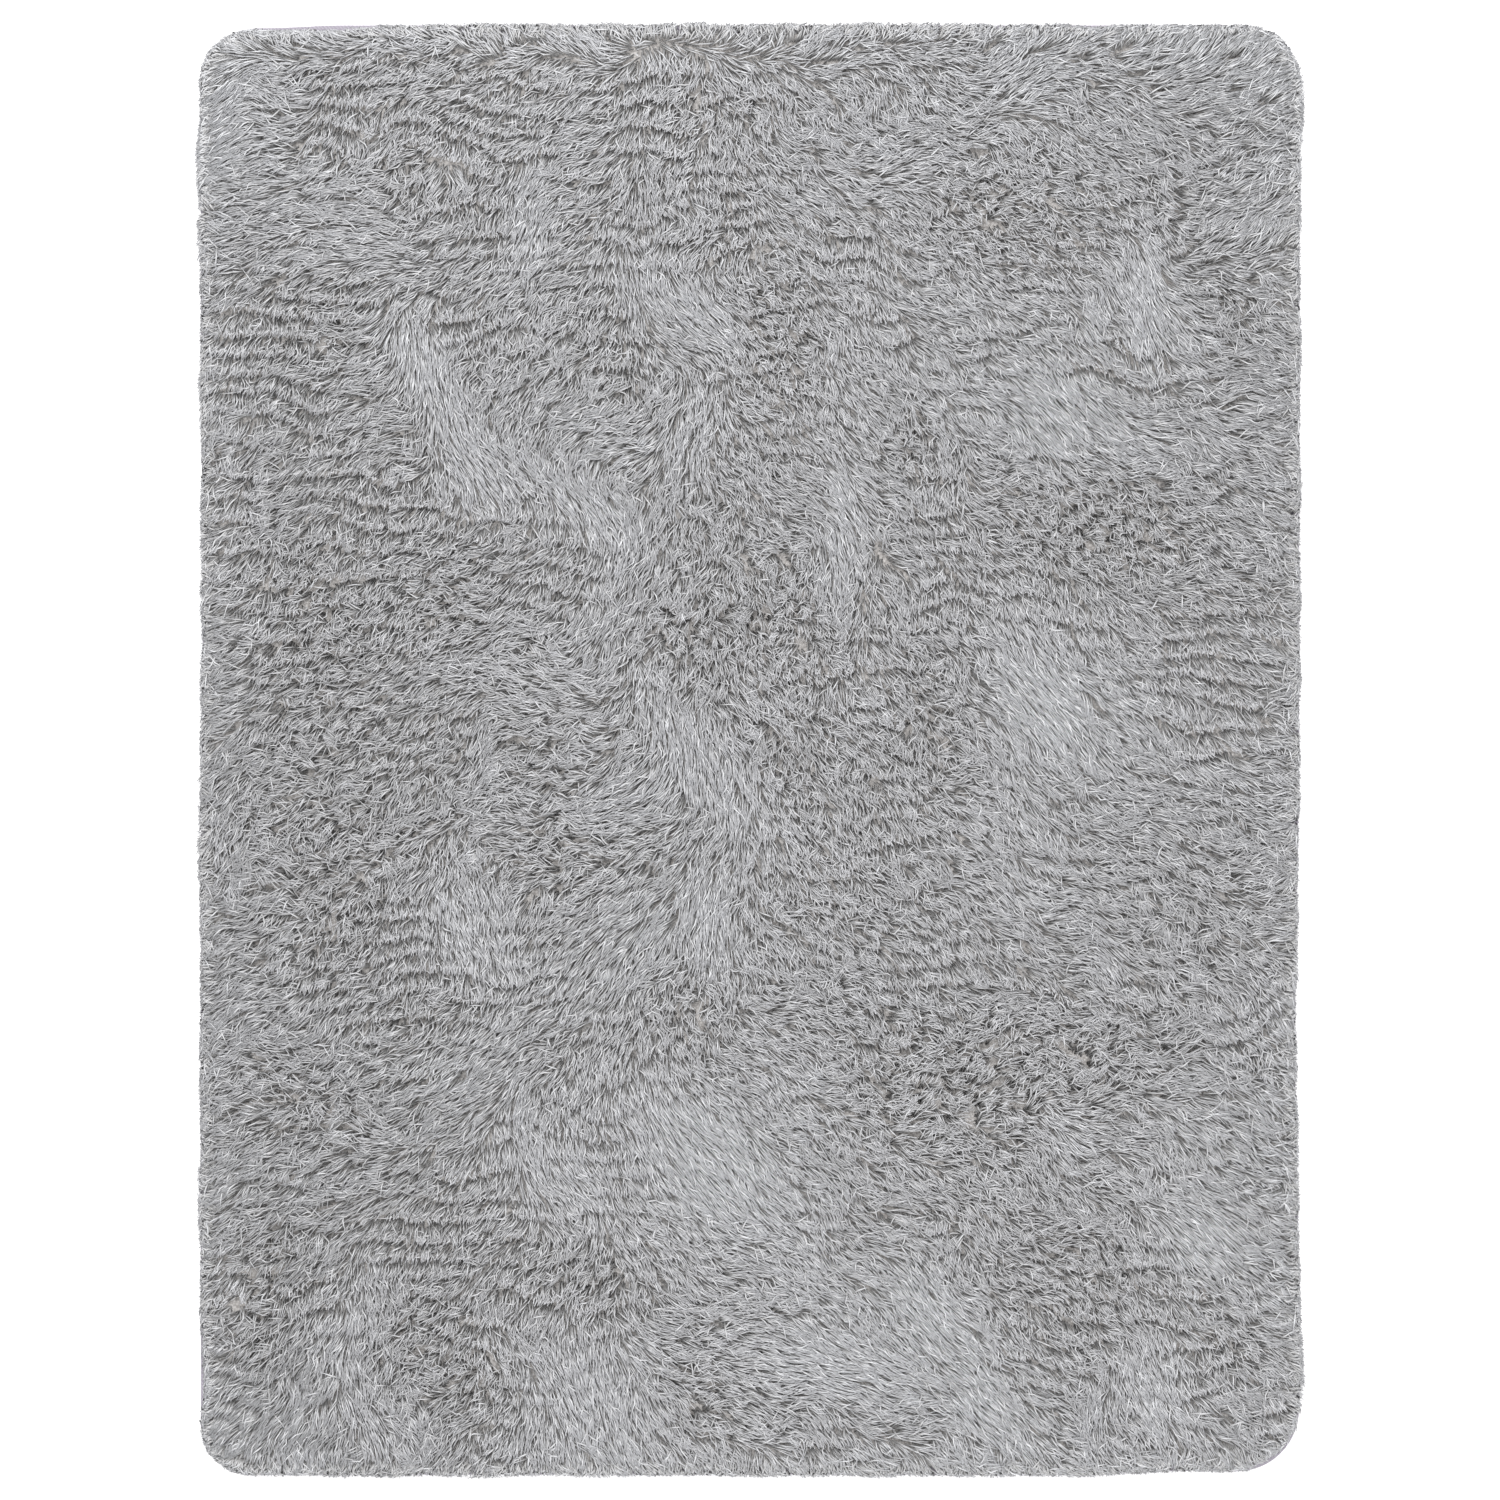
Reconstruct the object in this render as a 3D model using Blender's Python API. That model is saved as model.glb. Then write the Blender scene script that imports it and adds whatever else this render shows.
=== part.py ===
"""A shag rug: deep yarn pile on a plain base cloth, with a narrow tape folded round the edge.

Metres, +Z up. The origin is the middle of the underside. +X runs across the rug and +Y along it.
"""

import math
from collections import namedtuple

import bmesh
import bpy
from mathutils import Vector, noise

# Driving dimensions
WIDTH = 1.220
LENGTH = 1.610
GAP = 0.0003

CLOTH_THICK = 0.0025
TAPE_THICK = 0.0007
TAPE_WIDTH = 0.009
TAPE_WEB = 0.0012

PILE_HEIGHT = 0.0250
PILE_MIN_HEIGHT = 0.0160
PILE_MAX_HEIGHT = 0.0390
PILE_CELLS_ACROSS = 38
PILE_CELLS_ALONG = 50
CELL_EASING = 0.16
CELL_WANDER = 0.0115
SWIRL_SIZE = 0.150
SWIRL_REACH = 0.024
MERGE_DISTANCE = 0.00002

# The rug's plan: the outer edge of the tape
CORNER_STEPS = 5
SIDE_STEP = 0.080

Corner = namedtuple("Corner", "side_x side_y radius")
CORNERS = (
    Corner(side_x=-1, side_y=1, radius=0.066),
    Corner(side_x=1, side_y=1, radius=0.064),
    Corner(side_x=-1, side_y=-1, radius=0.058),
    Corner(side_x=1, side_y=-1, radius=0.074),
)

# Stretches where a side bows in from the straight line between its corners
Bow = namedtuple("Bow", "side_x side_y middle half_span depth")
BOWS = (
    Bow(side_x=1, side_y=0, middle=-0.310, half_span=0.340, depth=0.0045),
    Bow(side_x=-1, side_y=0, middle=0.180, half_span=0.300, depth=0.0020),
    Bow(side_x=0, side_y=1, middle=-0.540, half_span=0.090, depth=0.0030),
    Bow(side_x=0, side_y=-1, middle=0.500, half_span=0.130, depth=0.0045),
)

# The side of the pile, from its foot up. "out" is measured from the rug's edge, outwards.
Ring = namedtuple("Ring", "out height wander")
PILE_FOOT = CLOTH_THICK + GAP
PILE_SIDE = (
    Ring(out=-TAPE_WIDTH - 0.0040, height=PILE_FOOT, wander=0.0),
    Ring(out=-TAPE_WIDTH - 0.0015, height=PILE_FOOT + 0.0030, wander=0.0),
    Ring(out=-0.0040, height=0.0090, wander=0.0015),
    Ring(out=-0.0065, height=0.0175, wander=0.0025),
)
PILE_SHOULDER = 0.0150
RIM_WAVE_SIZE = 0.045
RIM_REACH_SHARE = 0.6

# Broad forms of the pile. Combed-flat patches lie low and smooth, rough ones stand high and lumpy.
Patch = namedtuple("Patch", "x y across along turn lift rough")
PATCHES = (
    Patch(x=0.440, y=0.505, across=0.060, along=0.110, turn=20, lift=-0.006, rough=0.3),
    Patch(x=0.345, y=0.375, across=0.090, along=0.060, turn=0, lift=-0.005, rough=0.4),
    Patch(x=0.320, y=0.072, across=0.070, along=0.075, turn=10, lift=-0.007, rough=0.2),
    Patch(x=-0.335, y=0.388, across=0.035, along=0.110, turn=22, lift=-0.006, rough=0.3),
    Patch(x=0.104, y=0.255, across=0.035, along=0.095, turn=0, lift=-0.006, rough=0.3),
    Patch(x=-0.165, y=0.290, across=0.110, along=0.045, turn=0, lift=-0.004, rough=0.5),
    Patch(x=-0.057, y=0.010, across=0.060, along=0.130, turn=0, lift=-0.004, rough=0.5),
    Patch(x=-0.318, y=-0.200, across=0.055, along=0.075, turn=0, lift=-0.005, rough=0.4),
    Patch(x=-0.057, y=-0.434, across=0.100, along=0.060, turn=-15, lift=-0.006, rough=0.3),
    Patch(x=-0.240, y=-0.415, across=0.045, along=0.090, turn=0, lift=-0.005, rough=0.4),
    Patch(x=0.240, y=-0.680, across=0.045, along=0.130, turn=35, lift=-0.007, rough=0.2),
    Patch(x=0.440, y=-0.690, across=0.045, along=0.090, turn=10, lift=-0.006, rough=0.3),
    Patch(x=-0.180, y=-0.710, across=0.080, along=0.060, turn=0, lift=-0.005, rough=0.4),
    Patch(x=-0.445, y=-0.620, across=0.045, along=0.050, turn=0, lift=-0.005, rough=0.4),
    Patch(x=0.250, y=0.615, across=0.055, along=0.055, turn=0, lift=0.004, rough=1.7),
    Patch(x=0.380, y=0.255, across=0.110, along=0.065, turn=-10, lift=0.004, rough=1.8),
    Patch(x=-0.470, y=0.120, across=0.070, along=0.070, turn=0, lift=0.004, rough=1.7),
    Patch(x=-0.330, y=0.165, across=0.060, along=0.070, turn=0, lift=0.003, rough=1.6),
    Patch(x=-0.020, y=0.135, across=0.120, along=0.050, turn=0, lift=0.004, rough=1.7),
    Patch(x=-0.470, y=-0.080, across=0.070, along=0.130, turn=10, lift=0.004, rough=1.8),
    Patch(x=-0.200, y=-0.120, across=0.060, along=0.085, turn=0, lift=0.004, rough=1.8),
    Patch(x=-0.080, y=-0.290, across=0.065, along=0.050, turn=0, lift=0.003, rough=1.6),
    Patch(x=0.250, y=-0.355, across=0.170, along=0.065, turn=0, lift=0.005, rough=1.8),
    Patch(x=-0.350, y=-0.660, across=0.070, along=0.070, turn=0, lift=0.004, rough=1.8),
    Patch(x=-0.530, y=-0.560, across=0.050, along=0.090, turn=10, lift=0.003, rough=1.6),
)
PATCH_SOFTNESS = 1.35
LEAST_ROUGH = 0.2
ROLL_SIZE = 0.210
ROLL_DEPTH = 0.0040
HOLLOW_SIZE = 0.055
HOLLOW_DEPTH = 0.0035

# Tufts of the top: each cell of the pile rises to a blunt point that is combed over to one side
TUFT_HEIGHT = 0.0080
TUFT_SPREAD = 0.5
TUFT_LEAN = 0.0105
COMB_PITCH = 0.260
COMB_TURN = 2.2

# Locks that hang out over the edge, longer where tufts stick out and short where the tape shows
Lock = namedtuple("Lock", "root_ring reach drop waist")
LOCKS = (
    Lock(root_ring=2, reach=0.0090, drop=0.0090, waist=0.42),
    Lock(root_ring=3, reach=0.0155, drop=0.0160, waist=0.42),
)
LOCK_REACH_SPREAD = 0.0030
LOCK_LEAST_REACH = 0.0080
LOCK_SIDEWAYS = 0.0055
LOCK_WAIST_AT = 0.58
LOCK_ARCH = 0.43
LOCK_TIP_MIN_HEIGHT = 0.0042

EdgePlace = namedtuple("EdgePlace", "name x y half_span reach")
EDGE_PLACES = (
    EdgePlace(name="tuft on the left, near the top", x=-0.610, y=0.655, half_span=0.050, reach=0.0045),
    EdgePlace(name="tuft on the left, lower", x=-0.610, y=0.575, half_span=0.040, reach=0.0040),
    EdgePlace(name="tuft on the left, low", x=-0.610, y=-0.105, half_span=0.045, reach=0.0040),
    EdgePlace(name="tuft on the right, near the top", x=0.610, y=0.705, half_span=0.055, reach=0.0055),
    EdgePlace(name="tuft on the right, near the bottom", x=0.610, y=-0.680, half_span=0.070, reach=0.0040),
    EdgePlace(name="bare tape at the top left", x=-0.460, y=0.805, half_span=0.110, reach=-0.0080),
    EdgePlace(name="bare tape at the top right", x=0.375, y=0.805, half_span=0.040, reach=-0.0040),
    EdgePlace(name="bare tape at the bottom right", x=0.580, y=-0.780, half_span=0.060, reach=-0.0080),
    EdgePlace(name="bare tape at the left", x=-0.610, y=-0.680, half_span=0.055, reach=-0.0060),
)


def clear_scene():
    """Start from an empty scene."""
    for thing in list(bpy.data.objects):
        bpy.data.objects.remove(thing, do_unlink=True)


def new_collection(name):
    """Make a collection in the scene."""
    made = bpy.data.collections.new(name)
    bpy.context.scene.collection.children.link(made)
    return made


def plain_material(name, colour, roughness):
    """A Principled material of one colour, for cloth and yarn."""
    material = bpy.data.materials.new(name)
    material.use_nodes = True
    shader = material.node_tree.nodes["Principled BSDF"]
    shader.inputs["Base Color"].default_value = (*colour, 1.0)
    shader.inputs["Roughness"].default_value = roughness
    shader.inputs["Metallic"].default_value = 0.0
    return material


def yarn_material():
    """Mid grey polyester yarn."""
    return plain_material("grey polyester yarn", colour=(0.37, 0.37, 0.375), roughness=0.80)


def cloth_material():
    """Paler grey woven cloth."""
    return plain_material("grey woven cloth", colour=(0.42, 0.415, 0.41), roughness=0.92)


def tape_material():
    """Mauve-grey twill tape."""
    return plain_material("mauve-grey twill tape", colour=(0.434, 0.413, 0.456), roughness=0.88)


def smooth_bump(distance):
    """1 in the middle, falling to 0 at a distance of 1, with no corner."""
    if abs(distance) >= 1.0:
        return 0.0
    return 0.5 + 0.5 * math.cos(math.pi * distance)


def corner_radius(x, y):
    """Radius of the corner in this point's quarter of the rug."""
    return next(c.radius for c in CORNERS if c.side_x * x >= 0 and c.side_y * y >= 0)


def plan_point(across, along):
    """Where a point of the unit square (-1 to 1 each way) lies on the rug.

    The square's border becomes the rug's edge. Each corner block of the square is squeezed into
    a quarter disc, and the sides are pulled in where they bow.
    """
    x = across * WIDTH / 2
    y = along * LENGTH / 2
    radius = corner_radius(x, y)
    past_x = (abs(x) - WIDTH / 2 + radius) / radius
    past_y = (abs(y) - LENGTH / 2 + radius) / radius
    if past_x > 0 and past_y > 0:
        x = math.copysign(WIDTH / 2 - radius + radius * past_x * math.sqrt(1 - past_y ** 2 / 2), x)
        y = math.copysign(LENGTH / 2 - radius + radius * past_y * math.sqrt(1 - past_x ** 2 / 2), y)
    pull_x = 0.0
    pull_y = 0.0
    for bow in BOWS:
        if bow.side_x and bow.side_x * across > 0:
            pull_x += across ** 2 * bow.depth * smooth_bump((y - bow.middle) / bow.half_span)
        if bow.side_y and bow.side_y * along > 0:
            pull_y += along ** 2 * bow.depth * smooth_bump((x - bow.middle) / bow.half_span)
    return Vector((x - math.copysign(pull_x, x), y - math.copysign(pull_y, y), 0.0))


def border_point(across, along):
    """Plan point of the border of the unit square, along the ray through this point."""
    size = max(abs(across), abs(along))
    return plan_point(across / size, along / size)


def outward(across, along):
    """The direction straight out of the rug's edge, on the ray through this point of the square."""
    ray = Vector((across, along)) / max(abs(across), abs(along))
    step = 0.01 * Vector((-ray.y, ray.x))
    before = border_point(*(ray - step))
    after = border_point(*(ray + step))
    tangent = (after - before).normalized()
    return Vector((tangent.y, -tangent.x, 0.0))


def side_stations(half_length, start_radius, end_radius):
    """Stations from -1 to 1 along one side: close together at the corners, wide between them."""
    stations = []
    for step in range(CORNER_STEPS):
        stations.append(-half_length + start_radius * step / CORNER_STEPS)
    straight = 2 * half_length - start_radius - end_radius
    steps = round(straight / SIDE_STEP)
    for step in range(steps + 1):
        stations.append(-half_length + start_radius + straight * step / steps)
    for step in range(1, CORNER_STEPS):
        stations.append(half_length - end_radius + end_radius * step / CORNER_STEPS)
    return [station / half_length for station in stations]


def outline():
    """The rug's edge as plan points, counter-clockwise from the bottom left."""
    top_left, top_right, bottom_left, bottom_right = (corner.radius for corner in CORNERS)
    border = [(s, -1.0) for s in side_stations(WIDTH / 2, bottom_left, bottom_right)]
    border += [(1.0, s) for s in side_stations(LENGTH / 2, bottom_right, top_right)]
    border += [(-s, 1.0) for s in side_stations(WIDTH / 2, top_right, top_left)]
    border += [(-1.0, -s) for s in side_stations(LENGTH / 2, top_left, bottom_left)]
    return [plan_point(across, along) for across, along in border]


def inset_outline(points, inset):
    """The outline moved inwards, square to it at each point."""
    moved = []
    for index, point in enumerate(points):
        before = (point - points[index - 1]).normalized()
        after = (points[(index + 1) % len(points)] - point).normalized()
        tangent = (before + after).normalized()
        moved.append(point - inset * Vector((tangent.y, -tangent.x, 0.0)))
    return moved


def link_mesh(name, bm, material, collection):
    """Turn a bmesh into an object in the collection."""
    bmesh.ops.recalc_face_normals(bm, faces=bm.faces)
    mesh = bpy.data.meshes.new(name)
    bm.to_mesh(mesh)
    bm.free()
    mesh.materials.append(material)
    made = bpy.data.objects.new(name, mesh)
    collection.objects.link(made)
    return made


def raise_face(bm, points, bottom, top):
    """Fill an outline at one height and pull it up to another."""
    verts = [bm.verts.new((point.x, point.y, bottom)) for point in points]
    face = bm.faces.new(verts)
    pulled = bmesh.ops.extrude_face_region(bm, geom=[face], use_keep_orig=True)
    top_verts = [item for item in pulled["geom"] if isinstance(item, bmesh.types.BMVert)]
    bmesh.ops.translate(bm, verts=top_verts, vec=(0.0, 0.0, top - bottom))
    return face


def make_base_cloth(collection):
    """The flat cloth. Its rim is raised a little on the underside, over the tape's lower fold."""
    points = outline()
    bm = bmesh.new()
    rim_inset = TAPE_WEB + GAP
    under = raise_face(bm, inset_outline(points, rim_inset), TAPE_THICK + GAP, CLOTH_THICK)
    bmesh.ops.inset_individual(bm, faces=[under], thickness=TAPE_WIDTH + GAP - rim_inset)
    pushed = bmesh.ops.extrude_discrete_faces(bm, faces=[under])
    for vert in pushed["faces"][0].verts:
        vert.co.z = 0.0
    return link_mesh("base_cloth", bm, cloth_material(), collection)


def tape_profile(collection):
    """Section of the folded tape: x points out of the rug, y up. Two folds joined by a round web."""
    height = CLOTH_THICK + GAP + TAPE_THICK
    round_over = TAPE_WEB * 0.85
    chamfer = round_over * 0.3
    section = (
        (-TAPE_WIDTH, height),
        (-round_over, height),
        (-chamfer, height - chamfer),
        (0.0, height - round_over),
        (0.0, round_over),
        (-chamfer, chamfer),
        (-round_over, 0.0),
        (-TAPE_WIDTH, 0.0),
        (-TAPE_WIDTH, TAPE_THICK),
        (-TAPE_WEB, TAPE_THICK),
        (-TAPE_WEB, height - TAPE_THICK),
        (-TAPE_WIDTH, height - TAPE_THICK),
    )
    curve = bpy.data.curves.new("tape section", "CURVE")
    curve.dimensions = "2D"
    spline = curve.splines.new("POLY")
    spline.points.add(len(section) - 1)
    for point, (out, up) in zip(spline.points, section):
        point.co = (out, up, 0.0, 1.0)
    spline.use_cyclic_u = True
    guide = bpy.data.objects.new("tape section", curve)
    guide.hide_render = True
    guide.display_type = "WIRE"
    collection.objects.link(guide)
    return guide


def make_edge_tape(collection, guides):
    """The tape folded round the cloth's edge: one section swept along the outline."""
    points = outline()
    curve = bpy.data.curves.new("edge_tape", "CURVE")
    curve.dimensions = "3D"
    curve.twist_mode = "Z_UP"
    curve.bevel_mode = "OBJECT"
    curve.bevel_object = tape_profile(guides)
    spline = curve.splines.new("POLY")
    spline.points.add(len(points) - 1)
    for station, point in zip(spline.points, points):
        station.co = (point.x, point.y, 0.0, 1.0)
    spline.use_cyclic_u = True
    curve.materials.append(tape_material())
    made = bpy.data.objects.new("edge_tape", curve)
    collection.objects.link(made)
    return made


def patch_effect(x, y):
    """How much the named patches lift the pile here, and how rough they leave it."""
    lift = 0.0
    rough = 1.0
    for patch in PATCHES:
        angle = math.radians(patch.turn)
        away_x = x - patch.x
        away_y = y - patch.y
        local_x = (away_x * math.cos(angle) - away_y * math.sin(angle)) / patch.across
        local_y = (away_x * math.sin(angle) + away_y * math.cos(angle)) / patch.along
        weight = smooth_bump(math.hypot(local_x, local_y) / PATCH_SOFTNESS)
        lift += patch.lift * weight
        rough += (patch.rough - 1.0) * weight
    return lift, max(rough, LEAST_ROUGH)


def wave(point, size, layer):
    """A smooth random value from about -1 to 1 that changes over this size, one field a layer."""
    return noise.noise(Vector((point.x / size, point.y / size, layer)))


def swing(first, second):
    """A repeatable random number from -1 to 1 for a pair of numbers."""
    return noise.cell(Vector((first * 1.371 + 0.5, second * 2.713 + 0.5, 0.5)))


def pile_height(point):
    """Height of the hollows between tufts: broad rolls, smaller hollows and the named patches."""
    lift, rough = patch_effect(point.x, point.y)
    roll = ROLL_DEPTH * wave(point, ROLL_SIZE, layer=1.7)
    hollow = HOLLOW_DEPTH * wave(point, HOLLOW_SIZE, layer=3.3)
    height = PILE_HEIGHT + lift + roll + rough * hollow
    return min(max(height, PILE_MIN_HEIGHT), PILE_MAX_HEIGHT)


def comb_way(point):
    """The direction in which the yarn is combed over here. It turns slowly from place to place."""
    angle = COMB_TURN * math.pi * wave(point, COMB_PITCH, layer=12.5)
    return Vector((math.cos(angle), math.sin(angle), 0.0))


def edge_reach(x, y):
    """How much further out the pile's rim reaches here than it does elsewhere."""
    reach = 0.0
    for place in EDGE_PLACES:
        distance = math.hypot(x - place.x, y - place.y) / place.half_span
        reach += place.reach * smooth_bump(distance)
    return reach


def eased(position):
    """Cells of the pile are a little smaller towards the edges, to follow the round corners."""
    return position * (1 + CELL_EASING * (1 - position ** 2))


def pile_top_point(across, along):
    """A point between the tufts on the pile's top, a little out of line with its neighbours."""
    shrink_x = 1 - 2 * PILE_SHOULDER / WIDTH
    shrink_y = 1 - 2 * PILE_SHOULDER / LENGTH
    point = plan_point(eased(across) * shrink_x, eased(along) * shrink_y)
    point.z = pile_height(point)
    inside = 1 - max(abs(across), abs(along)) ** 8
    swirl_x = SWIRL_REACH * wave(point, SWIRL_SIZE, layer=7.1)
    swirl_y = SWIRL_REACH * wave(point, SWIRL_SIZE, layer=9.4)
    wander_x = CELL_WANDER * swing(across * PILE_CELLS_ACROSS, along * PILE_CELLS_ALONG)
    wander_y = CELL_WANDER * swing(along * PILE_CELLS_ALONG, across * PILE_CELLS_ACROSS)
    point.x += inside * (swirl_x + wander_x)
    point.y += inside * (swirl_y + wander_y)
    return point


def pile_side_point(ring, across, along):
    """A point on one ring of the pile's side. The rings that wander reach further out at the tufts."""
    across = eased(across)
    along = eased(along)
    point = border_point(across, along)
    out = ring.out
    if ring.wander > 0:
        out += 2 * ring.wander * wave(point, RIM_WAVE_SIZE, layer=ring.height / RIM_WAVE_SIZE)
        out += RIM_REACH_SHARE * edge_reach(point.x, point.y)
    point += out * outward(across, along)
    point.z = ring.height
    return point


def raise_tufts(bm, cells):
    """Draw each cell of the top up to a point that leans the way the yarn is combed."""
    for index, face in enumerate(cells):
        middle = face.calc_center_median()
        _, rough = patch_effect(middle.x, middle.y)
        share = 1 + TUFT_SPREAD * swing(index, 3)
        tip = middle + TUFT_LEAN * comb_way(middle)
        tip.z = min(middle.z + TUFT_HEIGHT * rough * share, PILE_MAX_HEIGHT)
        poked = bmesh.ops.poke(bm, faces=[face])
        poked["verts"][0].co = tip


def grow_locks(bm, lock, roots):
    """Draw each root face out into a four-sided lock that narrows, droops and ends in a point."""
    stubs = bmesh.ops.extrude_discrete_faces(bm, faces=roots)["faces"]
    for index, face in enumerate(stubs):
        middle = face.calc_center_median()
        out_way = outward(middle.x / WIDTH, middle.y / LENGTH)
        side_way = Vector((-out_way.y, out_way.x, 0.0))
        reach = lock.reach + edge_reach(middle.x, middle.y) + LOCK_REACH_SPREAD * swing(index, 1)
        run = max(reach, LOCK_LEAST_REACH) * out_way + LOCK_SIDEWAYS * swing(index, 2) * side_way
        run.z = max(-lock.drop, LOCK_TIP_MIN_HEIGHT - middle.z)
        top_way = run.cross(side_way).normalized()
        waist = middle + LOCK_WAIST_AT * run
        waist.z += LOCK_ARCH * lock.drop
        for vert in face.verts:
            offset = lock.waist * (vert.co - middle)
            vert.co = waist + offset.dot(side_way) * side_way + offset.z * top_way
        tip = middle + run
        poked = bmesh.ops.poke(bm, faces=[face])
        poked["verts"][0].co = tip


def fold_grid(bm):
    """Fold the outer rings of a flat grid down as the side of the pile, like the lid of a box.

    Each vertex keeps its level, 0 at the foot and len(PILE_SIDE) on the top, and each face its
    square, 0 or 1 in turn as on a chequerboard.
    """
    level_of = bm.verts.layers.int.new("level")
    square_of = bm.faces.layers.int.new("square")
    side_rings = len(PILE_SIDE)
    columns = PILE_CELLS_ACROSS + 2 * side_rings
    rows = PILE_CELLS_ALONG + 2 * side_rings
    bmesh.ops.create_grid(bm, x_segments=columns, y_segments=rows, size=1.0)
    for face in bm.faces:
        middle = face.calc_center_median()
        column = math.floor((middle.x + 1) * columns / 2)
        row = math.floor((middle.y + 1) * rows / 2)
        face[square_of] = (column + row) % 2
    corner_blocks = []
    for vert in bm.verts:
        across = vert.co.x * columns / PILE_CELLS_ACROSS
        along = vert.co.y * rows / PILE_CELLS_ALONG
        past_x = round((abs(across) - 1) * PILE_CELLS_ACROSS / 2)
        past_y = round((abs(along) - 1) * PILE_CELLS_ALONG / 2)
        if past_x > 0 and past_y > 0:
            corner_blocks.append(vert)
            continue
        vert[level_of] = side_rings - max(past_x, past_y, 0)
        across = min(max(across, -1.0), 1.0)
        along = min(max(along, -1.0), 1.0)
        if vert[level_of] < side_rings:
            vert.co = pile_side_point(PILE_SIDE[vert[level_of]], across, along)
        else:
            vert.co = pile_top_point(across, along)
    bmesh.ops.delete(bm, geom=corner_blocks, context="VERTS")
    bmesh.ops.remove_doubles(bm, verts=bm.verts, dist=MERGE_DISTANCE)
    return level_of, square_of


def make_pile(collection):
    """The pile: a folded grid with a flat foot, locks round its side and tufts over its top."""
    bm = bmesh.new()
    level_of, square_of = fold_grid(bm)
    border = [edge for edge in bm.edges if edge.is_boundary]
    bmesh.ops.holes_fill(bm, edges=border, sides=0)
    faces_from = [[] for level in range(len(PILE_SIDE) + 1)]
    for face in bm.faces:
        faces_from[min(vert[level_of] for vert in face.verts)].append(face)
    for lock in LOCKS:
        roots = [face for face in faces_from[lock.root_ring] if face[square_of]]
        grow_locks(bm, lock, roots)
    raise_tufts(bm, faces_from[len(PILE_SIDE)])
    return link_mesh("pile", bm, yarn_material(), collection)


def build_rug():
    """Make the three pieces of the rug."""
    clear_scene()
    rug = new_collection("shag rug")
    guides = new_collection("guides")
    make_base_cloth(rug)
    make_edge_tape(rug, guides)
    make_pile(rug)


build_rug()
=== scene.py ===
import math
from collections import namedtuple

import bpy
import numpy as np
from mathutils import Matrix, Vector


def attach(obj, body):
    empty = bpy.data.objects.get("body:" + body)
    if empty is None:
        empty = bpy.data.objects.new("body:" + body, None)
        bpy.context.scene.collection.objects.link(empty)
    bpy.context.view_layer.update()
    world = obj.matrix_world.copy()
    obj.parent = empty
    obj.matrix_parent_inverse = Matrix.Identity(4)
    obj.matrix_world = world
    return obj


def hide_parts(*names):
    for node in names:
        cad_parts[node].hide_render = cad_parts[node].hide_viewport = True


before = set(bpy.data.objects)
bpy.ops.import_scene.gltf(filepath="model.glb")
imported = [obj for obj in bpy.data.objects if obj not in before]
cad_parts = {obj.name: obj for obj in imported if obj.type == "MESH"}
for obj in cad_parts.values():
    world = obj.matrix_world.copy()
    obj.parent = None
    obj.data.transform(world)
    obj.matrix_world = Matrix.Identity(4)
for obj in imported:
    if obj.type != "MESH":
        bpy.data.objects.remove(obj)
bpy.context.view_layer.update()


# ---------------------------------------------------------------------------------------------
# Base cloth. The real one is a plain weave of flat plastic tapes with the yarn's backs under it,
# finished with a thin coat that holds the tufts. It is cut to the rug's outline with round
# corners, and only its underside is open to view.
# ---------------------------------------------------------------------------------------------

MM = 0.001
RUG_WIDTH = 1.220
RUG_LENGTH = 1.610
CLOTH_THICK = 2.5 * MM
CLOTH_CELL = 40 * MM
# the cloth's edge is a tongue, which sits in the tape's fold with a gap all round
TONGUE_LOW = 1.0 * MM
TAPE_WIDTH = 9.0 * MM
TAPE_WEB = 1.2 * MM
GAP = 0.3 * MM

# The rug's four corners, each by its side of the middle
Corner = namedtuple("Corner", "side_x side_y radius")
CORNERS = (
    Corner(side_x=-1, side_y=1, radius=0.066),
    Corner(side_x=1, side_y=1, radius=0.064),
    Corner(side_x=-1, side_y=-1, radius=0.058),
    Corner(side_x=1, side_y=-1, radius=0.074),
)

# Where a side bows in from the straight line between its corners
Bow = namedtuple("Bow", "side_x side_y middle half_span depth")
BOWS = (
    Bow(side_x=1, side_y=0, middle=-0.310, half_span=0.340, depth=0.0045),
    Bow(side_x=-1, side_y=0, middle=0.180, half_span=0.300, depth=0.0020),
    Bow(side_x=0, side_y=1, middle=-0.540, half_span=0.090, depth=0.0030),
    Bow(side_x=0, side_y=-1, middle=0.500, half_span=0.130, depth=0.0045),
)


def smooth_bump(distance):
    """1 in the middle, falling to 0 at a distance of 1, with no corner."""
    return np.where(np.abs(distance) < 1, 0.5 + 0.5 * np.cos(np.pi * distance), 0.0)


def corner_radius(x, y):
    """Radius of the corner in each point's quarter of the rug."""
    found = np.zeros(np.shape(x))
    for corner in CORNERS:
        found = np.where((corner.side_x * x >= 0) & (corner.side_y * y >= 0), corner.radius, found)
    return found


def side_pull(x, y):
    """How far the sides nearest to each point are bowed in: (across, along)."""
    pull_x = np.zeros(np.shape(x))
    pull_y = np.zeros(np.shape(x))
    for bow in BOWS:
        if bow.side_x:
            pull_x += (bow.side_x * x > 0) * bow.depth * smooth_bump((y - bow.middle) / bow.half_span)
        else:
            pull_y += (bow.side_y * y > 0) * bow.depth * smooth_bump((x - bow.middle) / bow.half_span)
    return pull_x, pull_y


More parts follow.
